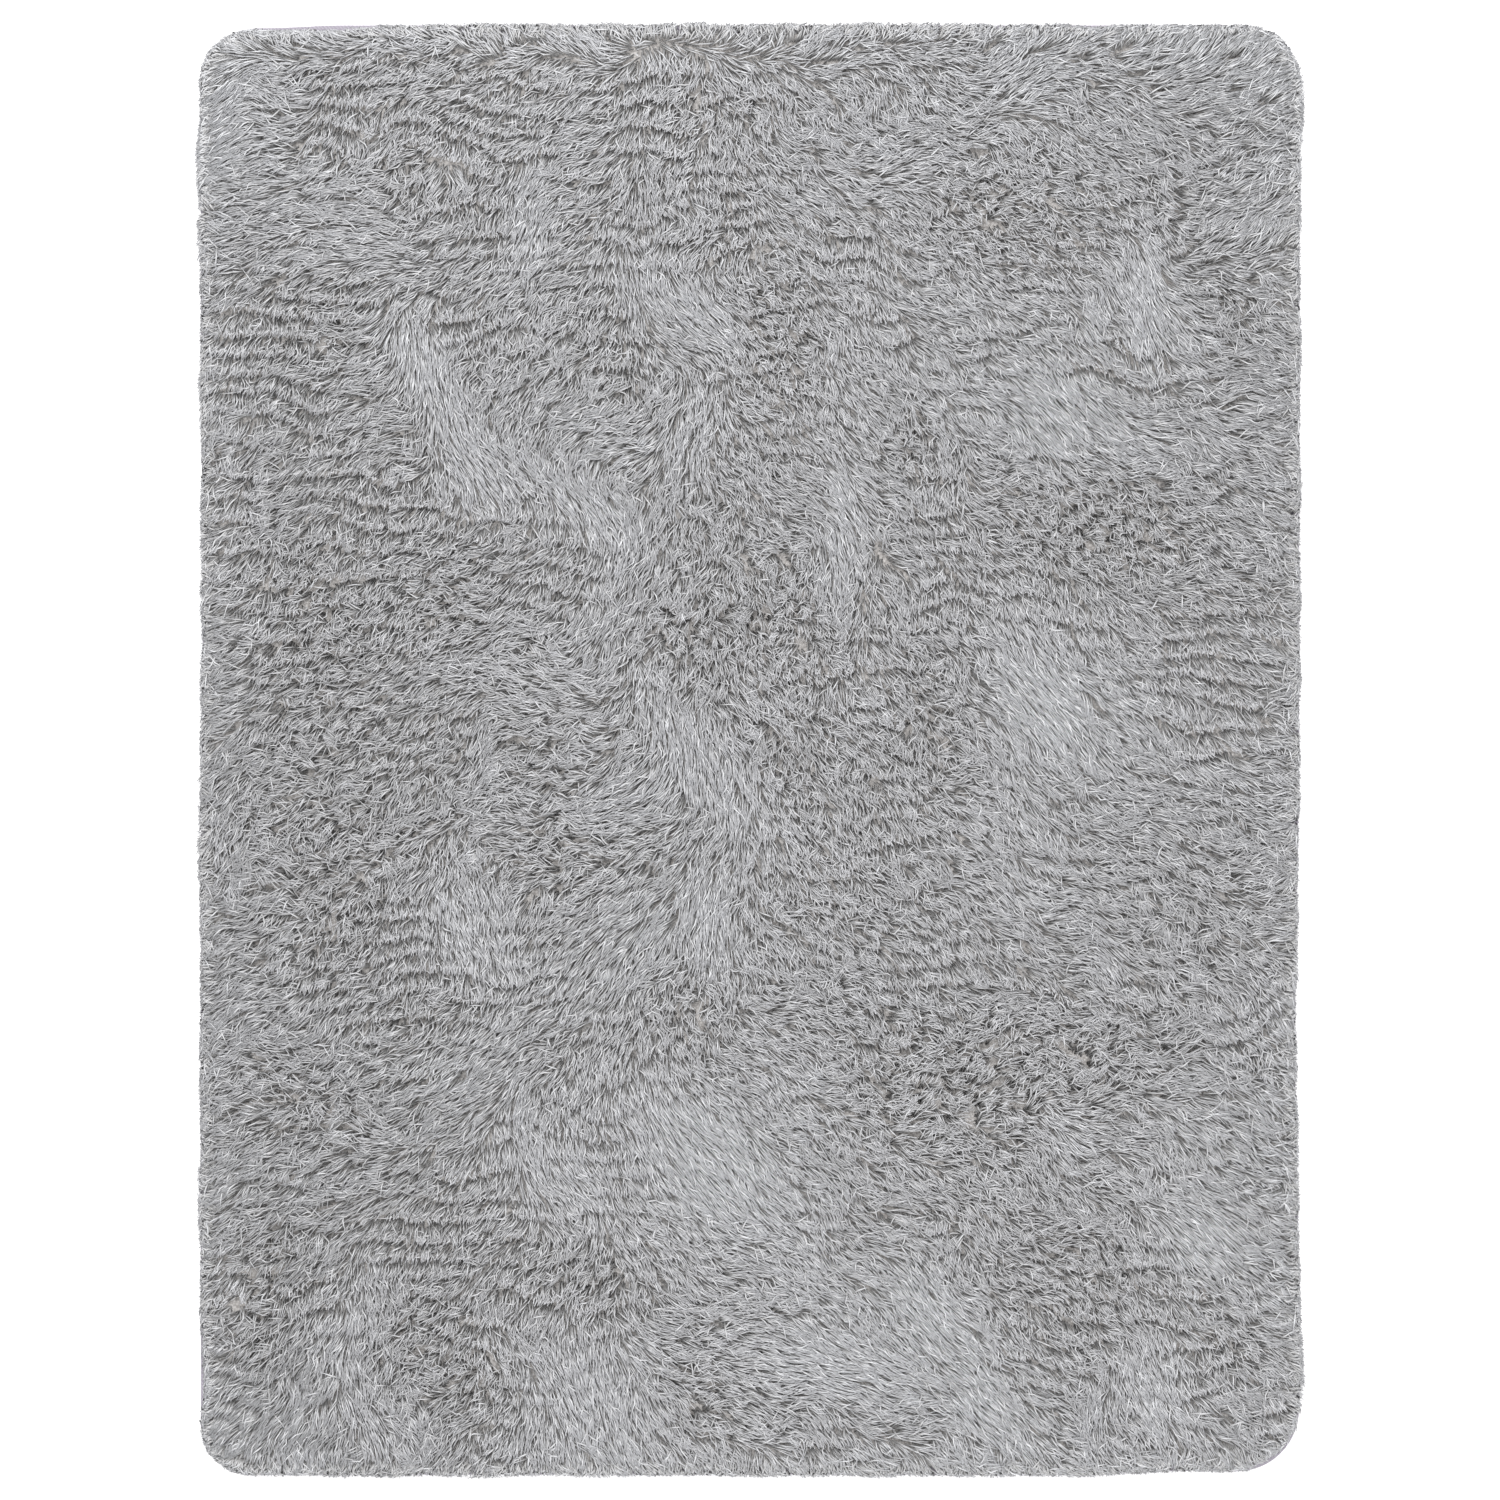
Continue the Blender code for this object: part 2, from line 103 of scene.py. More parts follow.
def plan(across, along, inset=0.0):
    """Places on the rug of points of the unit square (-1 to 1 each way), as x and y.

    The square's border becomes the rug's outline, moved in by the inset, and each corner block of
    the square becomes a quarter disc.
    """
    half_x = RUG_WIDTH / 2 - inset
    half_y = RUG_LENGTH / 2 - inset
    x = across * half_x
    y = along * half_y
    radius = corner_radius(x, y) - inset
    past_x = np.clip((np.abs(x) - half_x + radius) / radius, 0, 1)
    past_y = np.clip((np.abs(y) - half_y + radius) / radius, 0, 1)
    round_x = np.copysign(half_x - radius + radius * past_x * np.sqrt(1 - past_y ** 2 / 2), x)
    round_y = np.copysign(half_y - radius + radius * past_y * np.sqrt(1 - past_x ** 2 / 2), y)
    in_corner = (past_x > 0) & (past_y > 0)
    x = np.where(in_corner, round_x, x)
    y = np.where(in_corner, round_y, y)
    pull_x, pull_y = side_pull(x, y)
    return x - np.copysign(across ** 2 * pull_x, x), y - np.copysign(along ** 2 * pull_y, y)


def unit_grid(cell):
    """Rows of the unit square's stations, about one cell apart on the rug: (across, along)."""
    across = np.linspace(-1, 1, round(RUG_WIDTH / cell) + 1)
    along = np.linspace(-1, 1, round(RUG_LENGTH / cell) + 1)
    return np.meshgrid(across, along)


def border_of(rows, columns):
    """Indices of a grid's border points, counter-clockwise from the bottom left."""
    index = np.arange(rows * columns).reshape(rows, columns)
    return np.concatenate([index[0, :-1], index[:-1, -1], index[-1, :0:-1], index[:0:-1, 0]])


def sheet_faces(rows, columns):
    """Quads of a grid of points, facing up."""
    index = np.arange(rows * columns).reshape(rows, columns)
    corners = (index[:-1, :-1], index[:-1, 1:], index[1:, 1:], index[1:, :-1])
    return np.stack([c.ravel() for c in corners], axis=1)


def strip_faces(lower, upper):
    """Quads between two closed rings of points that run the same way, facing out."""
    return np.stack([lower, np.roll(lower, -1), np.roll(upper, -1), upper], axis=1)


def mesh_object(name, points, faces, material, uvs=None):
    """A smooth shaded object from an array of points, arrays of faces and a UV place for each point."""
    mesh = bpy.data.meshes.new(name)
    corners = np.concatenate([part.ravel() for part in faces]).astype(np.int32)
    sizes = np.concatenate([np.full(len(part), part.shape[1]) for part in faces])
    mesh.vertices.add(len(points))
    mesh.vertices.foreach_set("co", np.ascontiguousarray(points, dtype=np.float32).ravel())
    mesh.loops.add(len(corners))
    mesh.loops.foreach_set("vertex_index", corners)
    mesh.polygons.add(len(sizes))
    mesh.polygons.foreach_set("loop_start", (np.cumsum(sizes) - sizes).astype(np.int32))
    if uvs is not None:
        layer = mesh.uv_layers.new(name="OFBake")
        layer.uv.foreach_set("vector", np.ascontiguousarray(uvs[corners], dtype=np.float32).ravel())
    mesh.update(calc_edges=True)
    mesh.shade_smooth()
    mesh.materials.append(material)
    made = bpy.data.objects.new(name, mesh)
    bpy.context.scene.collection.objects.link(made)
    return made


def linear(code):
    """An sRGB hex colour as linear red, green, blue and alpha."""
    channels = [int(code[place:place + 2], 16) / 255 for place in (1, 3, 5)]
    return (*[c / 12.92 if c <= 0.04045 else ((c + 0.055) / 1.055) ** 2.4 for c in channels], 1.0)


def add_node(tree, kind, inputs=None, stops=(), **options):
    """A node of this kind. Each input is a value, or another node's output to link.

    Stops are those of a colour ramp, as (position, sRGB hex) pairs.
    """
    node = tree.nodes.new(kind)
    for name, value in options.items():
        setattr(node, name, value)
    for socket, value in (inputs or {}).items():
        if isinstance(value, bpy.types.NodeSocket):
            tree.links.new(value, node.inputs[socket])
        else:
            node.inputs[socket].default_value = value
    if stops:
        elements = node.color_ramp.elements
        while len(elements) < len(stops):
            elements.new(1.0)
        for element, (position, code) in zip(elements, stops):
            element.position = position
            element.color = linear(code)
    return node


def new_material(name, constants):
    """A material with these constants on its shader's sockets: (material, tree, shader)."""
    material = bpy.data.materials.new(name)
    material.use_nodes = True
    shader = material.node_tree.nodes["Principled BSDF"]
    for socket, value in constants.items():
        shader.inputs[socket].default_value = value
    return material, material.node_tree, shader


# Woven polypropylene tapes under a thin latex coat: matt and dry, with a fine grid of ribs, and
# blotches where the coat is thicker. The tapes are about 1.6 mm wide; they are drawn 3 mm wide,
# or they wouldn't show.
WEAVE_PITCH = 3.0 * MM
BLOTCH = 111.1 * MM
backing, tree, shader = new_material(
    "woven backing cloth", {"Roughness": 0.9, "IOR": 1.46, "Specular IOR Level": 0.25}
)
place = add_node(tree, "ShaderNodeTexCoord").outputs["Object"]
# a wave texture of scale s repeats every pi / (10 s)
wave = {"Vector": place, "Scale": math.pi / (10 * WEAVE_PITCH), "Distortion": 0.6, "Detail": 1.0}
warp = add_node(tree, "ShaderNodeTexWave", wave, bands_direction="X")
weft = add_node(tree, "ShaderNodeTexWave", wave, bands_direction="Y")
weave = add_node(
    tree, "ShaderNodeMath", {0: warp.outputs["Fac"], 1: weft.outputs["Fac"]}, operation="MULTIPLY"
).outputs[0]
coat = add_node(tree, "ShaderNodeTexNoise", {"Vector": place, "Scale": 1 / BLOTCH, "Detail": 4.0})
mottle = add_node(
    tree, "ShaderNodeMath", {0: weave, 1: coat.outputs["Fac"]}, operation="MULTIPLY"
).outputs[0]
tones = add_node(
    tree, "ShaderNodeValToRGB", {"Fac": mottle},
    stops=[(0.0, "#8F8D8A"), (0.35, "#A9A7A4"), (0.7, "#B9B7B3")],
)
dents = add_node(tree, "ShaderNodeBump", {"Height": weave, "Strength": 0.7, "Distance": 0.5 * MM})
tree.links.new(tones.outputs["Color"], shader.inputs["Base Color"])
tree.links.new(dents.outputs["Normal"], shader.inputs["Normal"])

across, along = unit_grid(CLOTH_CELL)
rim = border_of(*across.shape)
under_inset = TAPE_WIDTH + GAP
tongue_inset = TAPE_WEB + GAP
# from the underside up: filled layers are whole sheets of points, the others only their border
Layer = namedtuple("Layer", "inset height filled")
cloth_layers = (
    Layer(inset=under_inset, height=0.0, filled=True),
    Layer(inset=under_inset, height=TONGUE_LOW, filled=False),
    Layer(inset=tongue_inset, height=TONGUE_LOW, filled=False),
    Layer(inset=tongue_inset, height=CLOTH_THICK, filled=True),
)
cloth_points = []
for layer in cloth_layers:
    x, y = plan(across.ravel(), along.ravel(), layer.inset)
    points = np.stack([x, y, np.full(x.shape, layer.height)], axis=1)
    cloth_points.append(points if layer.filled else points[rim])
starts = np.cumsum([0] + [len(part) for part in cloth_points])
rings = [rim, starts[1] + np.arange(len(rim)), starts[2] + np.arange(len(rim)), starts[3] + rim]
cloth_faces = [sheet_faces(*across.shape)[:, ::-1], starts[3] + sheet_faces(*across.shape)]
cloth_faces += [strip_faces(lower, upper) for lower, upper in zip(rings, rings[1:])]
base_cloth = mesh_object("woven_base_cloth", np.concatenate(cloth_points), cloth_faces, backing)
base_cloth.data.set_sharp_from_angle(angle=math.radians(40))
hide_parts("base_cloth")
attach(base_cloth, "root")


# ---------------------------------------------------------------------------------------------
# Edge tape. A polyester twill tape folded round the cloth's cut edge and sewn through. It shows
# as a narrow mauve-grey strip where the pile is short, and all the way round from below.
# ---------------------------------------------------------------------------------------------

TAPE_THICK = 0.7 * MM
TAPE_STEP = 10 * MM
TAPE_TOP = CLOTH_THICK + GAP + TAPE_THICK


def unit(ways):
    """Directions brought to a length of 1."""
    tiny = 1e-9
    return ways / np.maximum(np.linalg.norm(ways, axis=-1, keepdims=True), tiny)


def left_of(ways):
    """Plan directions turned left by a right angle."""
    return np.stack([-ways[..., 1], ways[..., 0]], axis=-1)


def edge_stations(step):
    """Stations round the unit square's border, one step apart on the rug: (across, along)."""
    side_x = np.linspace(-1, 1, round(RUG_WIDTH / step), endpoint=False)
    side_y = np.linspace(-1, 1, round(RUG_LENGTH / step), endpoint=False)
    across = np.concatenate([side_x, np.ones(len(side_y)), -side_x, -np.ones(len(side_y))])
    along = np.concatenate([-np.ones(len(side_x)), side_y, np.ones(len(side_x)), -side_y])
    return across, along


def edge_line(across, along, inset=0.0):
    """Points of the outline at these stations, and the way out of the rug at each."""
    line = np.stack(plan(across, along, inset), axis=1)
    run = np.roll(line, -1, axis=0) - np.roll(line, 1, axis=0)
    return line, -left_of(unit(run))


# Smooth random humps and dips: how wide they are, how far they go each way, and their seed
Humps = namedtuple("Humps", "span size seed")
LATTICE_CELLS = 96
# the rug's middle on the lattice, off its lines
MIDDLE_U = 40.37
MIDDLE_V = 40.61


def eased(share):
    """A share from 0 to 1 that starts and ends gently."""
    return share ** 2 * (3 - 2 * share)


def humps_at(x, y, humps):
    """The height of these humps at each place, eased between the random points of a lattice."""
    lattice = np.random.default_rng(humps.seed).uniform(-1, 1, (LATTICE_CELLS, LATTICE_CELLS))
    u = x / humps.span + MIDDLE_U
    v = y / humps.span + MIDDLE_V
    i = np.floor(u).astype(int)
    j = np.floor(v).astype(int)
    u = eased(u - i)
    v = eased(v - j)
    here = lattice[i % LATTICE_CELLS, j % LATTICE_CELLS]
    right = lattice[(i + 1) % LATTICE_CELLS, j % LATTICE_CELLS]
    above = lattice[i % LATTICE_CELLS, (j + 1) % LATTICE_CELLS]
    across = lattice[(i + 1) % LATTICE_CELLS, (j + 1) % LATTICE_CELLS]
    return humps.size * ((here * (1 - u) + right * u) * (1 - v) + (above * (1 - u) + across * u) * v)


# Spun polyester twill: soft and matt, with a diagonal rib that catches a faint light, and paler in
# patches. Its ribs are about 0.6 mm apart; they are drawn 2.9 mm apart, or they wouldn't show.
RIB_PITCH = 2.94 * MM
WORN_PATCH = 16.67 * MM
twill, tree, shader = new_material(
    "polyester twill tape",
    {"Roughness": 0.82, "IOR": 1.5, "Specular IOR Level": 0.3, "Sheen Weight": 0.12},
)
place = add_node(tree, "ShaderNodeTexCoord").outputs["Object"]
# a diagonal wave of scale s repeats every pi / (5 s sqrt(2)) on a level face
rib_scale = math.pi / (5 * math.sqrt(2) * RIB_PITCH)
ribs = add_node(
    tree, "ShaderNodeTexWave", {"Vector": place, "Scale": rib_scale, "Distortion": 1.5, "Detail": 2.0},
    bands_direction="DIAGONAL",
)
wear = add_node(tree, "ShaderNodeTexNoise", {"Vector": place, "Scale": 1 / WORN_PATCH, "Detail": 3.0})
worn = add_node(
    tree, "ShaderNodeMath", {0: ribs.outputs["Fac"], 1: wear.outputs["Fac"]}, operation="MULTIPLY"
).outputs[0]
tones = add_node(
    tree, "ShaderNodeValToRGB", {"Fac": worn},
    stops=[(0.0, "#8F8A94"), (0.45, "#9E99A3"), (0.9, "#A9A5AE")],
)
dents = add_node(tree, "ShaderNodeBump", {"Height": worn, "Strength": 0.6, "Distance": 0.25 * MM})
tree.links.new(tones.outputs["Color"], shader.inputs["Base Color"])
tree.links.new(dents.outputs["Normal"], shader.inputs["Normal"])

# Section of the folded tape, clockwise: how far out of the rug's edge, how high, and whether it
# puckers there with the top leaf
Fold = namedtuple("Fold", "out height puckered")
tape_section = (
    Fold(-TAPE_WIDTH, TAPE_TOP, False),
    Fold(-0.5 * TAPE_WIDTH, TAPE_TOP + 0.1 * MM, True),
    Fold(-1.1 * MM, TAPE_TOP, True),
    Fold(-0.5 * MM, TAPE_TOP - 0.2 * MM, True),
    Fold(-0.1 * MM, TAPE_TOP - 0.7 * MM, True),
    Fold(0.0, TAPE_TOP / 2, False),
    Fold(-0.1 * MM, 0.7 * MM, False),
    Fold(-0.5 * MM, 0.2 * MM, False),
    Fold(-1.1 * MM, 0.0, False),
    Fold(-TAPE_WIDTH, 0.0, False),
    Fold(-TAPE_WIDTH, TAPE_THICK, False),
    Fold(-TAPE_WEB, TAPE_THICK, False),
    Fold(-TAPE_WEB, TAPE_TOP - TAPE_THICK, True),
    Fold(-TAPE_WIDTH, TAPE_TOP - TAPE_THICK, False),
)
PUCKER = Humps(span=9 * MM, size=0.18 * MM, seed=3)
line, out = edge_line(*edge_stations(TAPE_STEP))
pucker = humps_at(*line.T, PUCKER)
tape_rows = []
for fold in tape_section:
    height = fold.height + pucker * fold.puckered
    tape_rows.append(np.column_stack([line + out * fold.out, height]))
tape_points = np.concatenate(tape_rows)
rows = np.arange(len(tape_points)).reshape(len(tape_section), -1)
tape_faces = [strip_faces(rows[i], rows[i - 1]) for i in range(len(tape_section))]
edge_tape = mesh_object("folded_edge_tape", tape_points, tape_faces, twill)
edge_tape.data.set_sharp_from_angle(angle=math.radians(50))
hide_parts("edge_tape")
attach(edge_tape, "root")


# ---------------------------------------------------------------------------------------------
# Packed roots. Down between the yarn ends the tufts are stitched so close that they read as one
# dark, fibrous body. It is one closed lumpy slab that stands on the cloth, and rises and sinks
# with the combed pile over it.
# ---------------------------------------------------------------------------------------------

# The pile's lie: the ways in which it has been combed and crushed, read off the rug. The
# slab and all the yarn over it follow them.

# A stroke of the hand: where its middle is, its half length along the heading and half width
# across it, all in millimetres, the way it combs the tips (degrees from +X), and how flat
Stroke = namedtuple("Stroke", "x y along across heading flat")
STROKES = (
    # top left
    Stroke(-575, 720, 90, 35, 262, 0.8),
    Stroke(-515, 700, 35, 28, 140, 0.3),
    Stroke(-585, 610, 60, 35, 128, 0.2),
    Stroke(-500, 620, 90, 45, 160, 0.3),
    Stroke(-425, 555, 90, 25, 172, 0.4),
    Stroke(-513, 400, 50, 24, 212, 0.1),
    Stroke(-365, 445, 45, 24, 298, 0.9),
    Stroke(-330, 375, 50, 24, 293, 0.9),
    Stroke(-300, 310, 40, 26, 312, 0.9),
    Stroke(-240, 595, 55, 22, 268, 0.8),
    # top middle
    Stroke(-113, 515, 50, 30, 303, 0.6),
    Stroke(-57, 483, 55, 28, 318, 0.9),
    Stroke(143, 650, 75, 30, 20, 0.3),
    Stroke(110, 465, 45, 25, 318, 0.3),
    Stroke(110, 400, 40, 20, 300, 0.4),
    Stroke(98, 255, 80, 20, 272, 0.9),
    Stroke(-180, 277, 90, 28, 325, 0.8),
    Stroke(-68, 360, 50, 40, 228, 0.6),
    Stroke(-168, 360, 45, 35, 205, 0.4),
    # top right
    Stroke(298, 750, 45, 30, 62, 0.6),
    Stroke(465, 783, 35, 55, 48, 0.7),
    Stroke(570, 755, 50, 35, 50, 0.8),
    Stroke(543, 600, 60, 50, 47, 0.4),
    Stroke(232, 500, 95, 28, 352, 0.3),
    Stroke(387, 510, 50, 15, 245, 0.8),
    Stroke(432, 510, 65, 22, 268, 1.0),
    Stroke(470, 466, 35, 20, 290, 0.6),
    Stroke(220, 400, 60, 35, 325, 0.3),
    Stroke(326, 383, 55, 45, 312, 0.9),
    Stroke(404, 355, 55, 25, 326, 0.9),
    Stroke(476, 355, 60, 25, 342, 0.4),
    Stroke(554, 388, 45, 60, 15, 0.3),
    Stroke(537, 244, 60, 40, 330, 0.3),
    # middle
    Stroke(-585, 110, 45, 60, 212, 0.3),
    Stroke(-280, 110, 90, 60, 184, 0.2),
    Stroke(-290, 5, 40, 14, 285, 0.7),
    Stroke(-157, 155, 85, 24, 247, 0.5),
    Stroke(-124, -40, 70, 42, 220, 0.6),
    Stroke(-52, 0, 110, 34, 308, 0.8),
    Stroke(10, 66, 45, 35, 322, 0.3),
    Stroke(315, 70, 72, 48, 298, 1.0),
    Stroke(382, 77, 60, 40, 318, 0.5),
    Stroke(443, 16, 60, 32, 335, 0.3),
    Stroke(282, -78, 45, 32, 315, 0.4),
    Stroke(293, -145, 40, 30, 305, 0.4),
    Stroke(487, -56, 100, 60, 355, 0.3),
    Stroke(-535, -184, 50, 38, 150, 0.1),
    Stroke(-390, -184, 38, 18, 240, 0.1),
    Stroke(-307, -190, 60, 45, 310, 0.7),
    Stroke(-135, -195, 85, 62, 226, 0.6),
    Stroke(-46, -172, 60, 30, 283, 0.8),
    Stroke(387, -223, 50, 14, 290, 0.6),
    Stroke(560, -156, 45, 35, 48, 0.3),
    Stroke(543, -290, 60, 45, 318, 0.3),
    # lower left
    Stroke(-502, -295, 130, 55, 183, 0.2),
    Stroke(-290, -345, 80, 34, 230, 0.4),
    Stroke(-252, -373, 60, 14, 270, 0.8),
    Stroke(-174, -373, 35, 30, 298, 0.3),
    Stroke(-590, -478, 50, 45, 226, 0.4),
    Stroke(-446, -456, 60, 38, 203, 0.1),
    Stroke(-218, -456, 55, 38, 316, 0.7),
    Stroke(-463, -578, 40, 26, 236, 0.2),
    Stroke(-452, -640, 38, 20, 252, 0.7),
    Stroke(-418, -617, 38, 18, 300, 0.4),
    Stroke(-407, -734, 35, 24, 328, 0.4),
    Stroke(-252, -650, 45, 28, 325, 0.2),
    Stroke(-596, -734, 40, 24, 262, 0.6),
    Stroke(-563, -756, 30, 22, 240, 0.6),
    Stroke(-500, -755, 60, 25, 265, 0.6),
    Stroke(-180, -706, 75, 55, 309, 0.7),
    # lower middle
    Stroke(-57, -445, 100, 55, 310, 0.9),
    Stroke(43, -367, 60, 40, 318, 0.4),
    Stroke(-113, -528, 120, 38, 332, 0.4),
    Stroke(32, -556, 110, 40, 336, 0.4),
    Stroke(87, -673, 110, 40, 355, 0.8),
    Stroke(254, -334, 45, 25, 30, 0.0),
    # lower right
    Stroke(198, -622, 60, 36, 318, 0.9),
    Stroke(248, -706, 60, 24, 290, 0.9),
    Stroke(224, -739, 30, 14, 243, 0.5),
    Stroke(287, -739, 35, 28, 305, 0.7),
    Stroke(343, -417, 28, 22, 320, 0.8),
    Stroke(476, -423, 100, 60, 352, 0.3),
    Stroke(487, -528, 60, 45, 316, 0.8),
    Stroke(465, -584, 35, 26, 300, 0.4),
    Stroke(387, -717, 40, 20, 235, 0.6),
    Stroke(443, -690, 60, 34, 288, 0.8),
    Stroke(554, -600, 90, 40, 318, 0.4),
)

# Where the yarn stands up, criss-crossed, with dark pits between: middle and half sizes in mm
Crush = namedtuple("Crush", "x y half_x half_y deep")
CRUSHED = (
    Crush(-446, -190, 145, 530, 0.12),
    Crush(-18, 77, 105, 133, 0.4),
    Crush(265, -367, 190, 90, 0.5),
    Crush(4, 472, 60, 105, 0.5),
    Crush(395, -605, 130, 70, 0.5),
    Crush(282, 594, 72, 50, 0.5),
    Crush(82, -145, 83, 89, 0.4),
    Crush(493, -134, 105, 100, 0.4),
    Crush(248, 616, 33, 39, 1.0),
    Crush(387, 255, 89, 50, 1.0),
    Crush(176, 344, 28, 28, 0.8),
    Crush(-468, 122, 55, 44, 1.0),
    Crush(-490, 199, 28, 33, 0.9),
    Crush(-335, 166, 39, 44, 1.0),
    Crush(-79, 122, 39, 33, 0.9),
    Crush(20, 144, 50, 39, 1.0),
    Crush(-468, -56, 55, 78, 1.0),
    Crush(-452, -156, 33, 75, 0.9),
    Crush(-200, -123, 39, 67, 1.0),
    Crush(-124, -123, 44, 22, 0.9),
    Crush(-79, -289, 50, 39, 0.8),
    Crush(-363, -284, 33, 24, 0.8),
    Crush(204, 55, 33, 75, 0.9),
    Crush(132, -356, 39, 44, 0.9),
    Crush(232, -378, 44, 44, 0.9),
    Crush(309, -356, 55, 44, 1.0),
    Crush(420, -312, 39, 33, 0.8),
    Crush(-363, -656, 44, 44, 0.9),
    Crush(-302, -689, 35, 30, 0.9),
    Crush(-518, -556, 33, 50, 0.9),
    Crush(-535, -645, 28, 30, 0.8),
    Crush(-446, -400, 44, 33, 0.9),
    Crush(-535, -350, 31, 24, 0.8),
    Crush(-168, -578, 60, 33, 0.7),
    Crush(420, -578, 55, 39, 0.9),
    Crush(537, -645, 33, 33, 0.8),
    Crush(565, 188, 28, 28, 0.8),
    Crush(554, -345, 28, 33, 0.8),
    Crush(-57, -711, 33, 55, 0.7),
    Crush(-468, 466, 33, 28, 0.8),
    Crush(-140, 449, 22, 33, 0.8),
    Crush(32, 444, 44, 44, 0.8),
    Crush(532, 477, 22, 44, 0.8),
    Crush(465, 600, 33, 33, 0.7),
    Crush(-35, 722, 33, 22, 0.7),
    Crush(-379, 627, 22, 22, 0.7),
    Crush(48, 10, 33, 44, 0.8),
    Crush(-229, -6, 28, 28, 0.8),
    Crush(-335, -12, 24, 33, 0.7),
    Crush(-229, 110, 28, 22, 0.7),
    Crush(504, -200, 22, 33, 0.8),
)

# A stroke and a crushed place fade as exp(-FALL * d ** 2), where d is 1 at their half sizes. The
# core of a stroke is evenly flat. All the pile is crushed a little, and less where it is flat.
STROKE_FALL = 0.75
CRUSH_FALL = 0.75
STROKE_CORE = 1.35
CRUSH_ALL_OVER = 0.17
FLAT_UNCRUSHES = 0.85

# Between the strokes the pile leans weakly down the rug, and away from a wandering parting
LOOSE_LIE = 0.40
LOOSE_DROP = -0.8
PARTING_X = -50 * MM
PARTING_SOFT = 130 * MM
PARTING_WANDER = Humps(span=140 * MM, size=120 * MM, seed=10)

# The lie sways to both sides by these angles, less where it is flat
SWAYS = (
    Humps(span=130 * MM, size=0.60, seed=11),
    Humps(span=50 * MM, size=0.55, seed=12),
    Humps(span=24 * MM, size=0.45, seed=13),
)
FLAT_STEADIES = 0.8

# Near the edge the yarn falls outwards: fully up to a quarter of the band, and less and less to
# one and a quarter. There it is less crushed, and keeps less of the lie that it had.
EDGE_COMB = 48 * MM
EDGE_COMB_FULL = 0.25
EDGE_COMB_WAVERS = Humps(span=45 * MM, size=0.45, seed=14)
EDGE_UNCRUSHES = 0.6
EDGE_TAKES_OUTWARD = 0.8
EDGE_TAKES_ALL = 0.45


def edge_depth(x, y):
    """How far inside the rug's edge each point is, and the way straight out from it."""
    pull_x, pull_y = side_pull(x, y)
    radius = corner_radius(x, y)
    past_x = np.abs(x) - (RUG_WIDTH / 2 - pull_x - radius)
    past_y = np.abs(y) - (RUG_LENGTH / 2 - pull_y - radius)
    out_x = np.maximum(past_x, 0)
    out_y = np.maximum(past_y, 0)
    depth = radius - np.hypot(out_x, out_y) - np.minimum(np.maximum(past_x, past_y), 0)
    in_corner = (past_x > 0) & (past_y > 0)
    way_x = np.where(in_corner, out_x, past_x >= past_y) * np.sign(x)
    way_y = np.where(in_corner, out_y, past_x < past_y) * np.sign(y)
    return depth, unit(np.stack([way_x, way_y], axis=-1))


def turned(ways, angle):
    """Plan directions turned by these angles."""
    return ways * np.cos(angle)[..., None] + left_of(ways) * np.sin(angle)[..., None]


def lie_of(x, y):
    """The comb's way, the flatness and the crush of the pile at these places."""
    parting = PARTING_X + humps_at(0 * y, y, PARTING_WANDER)
    side = np.tanh((x - parting) / PARTING_SOFT)
    ways = np.stack([side * LOOSE_LIE, np.full(np.shape(x), LOOSE_DROP * LOOSE_LIE)], axis=-1)
    flat = np.zeros(np.shape(x))
    for stroke in STROKES:
        heading = math.radians(stroke.heading)
        comb = np.array([math.cos(heading), math.sin(heading)])
        dx = x / MM - stroke.x
        dy = y / MM - stroke.y
        run = (dx * comb[0] + dy * comb[1]) / stroke.along
        wide = (dy * comb[0] - dx * comb[1]) / stroke.across
        share = np.exp(-STROKE_FALL * (run ** 2 + wide ** 2))
        ways += share[..., None] * comb
        flat = np.maximum(flat, np.minimum(STROKE_CORE * share, 1) * stroke.flat)
    left = np.full(np.shape(x), 1 - CRUSH_ALL_OVER)
    for crush in CRUSHED:
        distance = ((x / MM - crush.x) / crush.half_x) ** 2 + ((y / MM - crush.y) / crush.half_y) ** 2
        left *= 1 - crush.deep * np.exp(-CRUSH_FALL * distance)

    depth, out = edge_depth(x, y)
    band = EDGE_COMB * (1 + humps_at(x, y, EDGE_COMB_WAVERS))
    comb_out = eased(np.clip(1 + EDGE_COMB_FULL - depth / band, 0, 1))
    crushed = (1 - left) * (1 - FLAT_UNCRUSHES * flat) * (1 - EDGE_UNCRUSHES * comb_out)
    sway = sum(humps_at(x, y, humps) for humps in SWAYS)
    ways = turned(unit(ways), sway * (1 - FLAT_STEADIES * flat))
    comb_out = comb_out[..., None]
    outward = (ways * out).sum(axis=-1, keepdims=True) * out
    ways = (ways - EDGE_TAKES_OUTWARD * comb_out * outward) * (1 - EDGE_TAKES_ALL * comb_out)
    return unit(ways + out * comb_out), flat, crushed


# The combed surface rolls, has hollows that are deepest where it is crushed, sinks where it is
# flat, and is rounded off at the edge to a share of its height
PILE_HEIGHT = 24.0 * MM
ROLL = Humps(span=210 * MM, size=2.5 * MM, seed=21)
HOLLOW = Humps(span=50 * MM, size=3.4 * MM, seed=22)
HOLLOW_UNCRUSHED = 0.4
FLAT_SINK = 3.0 * MM
SHOULDER = 24 * MM
EDGE_SHARE = 0.44


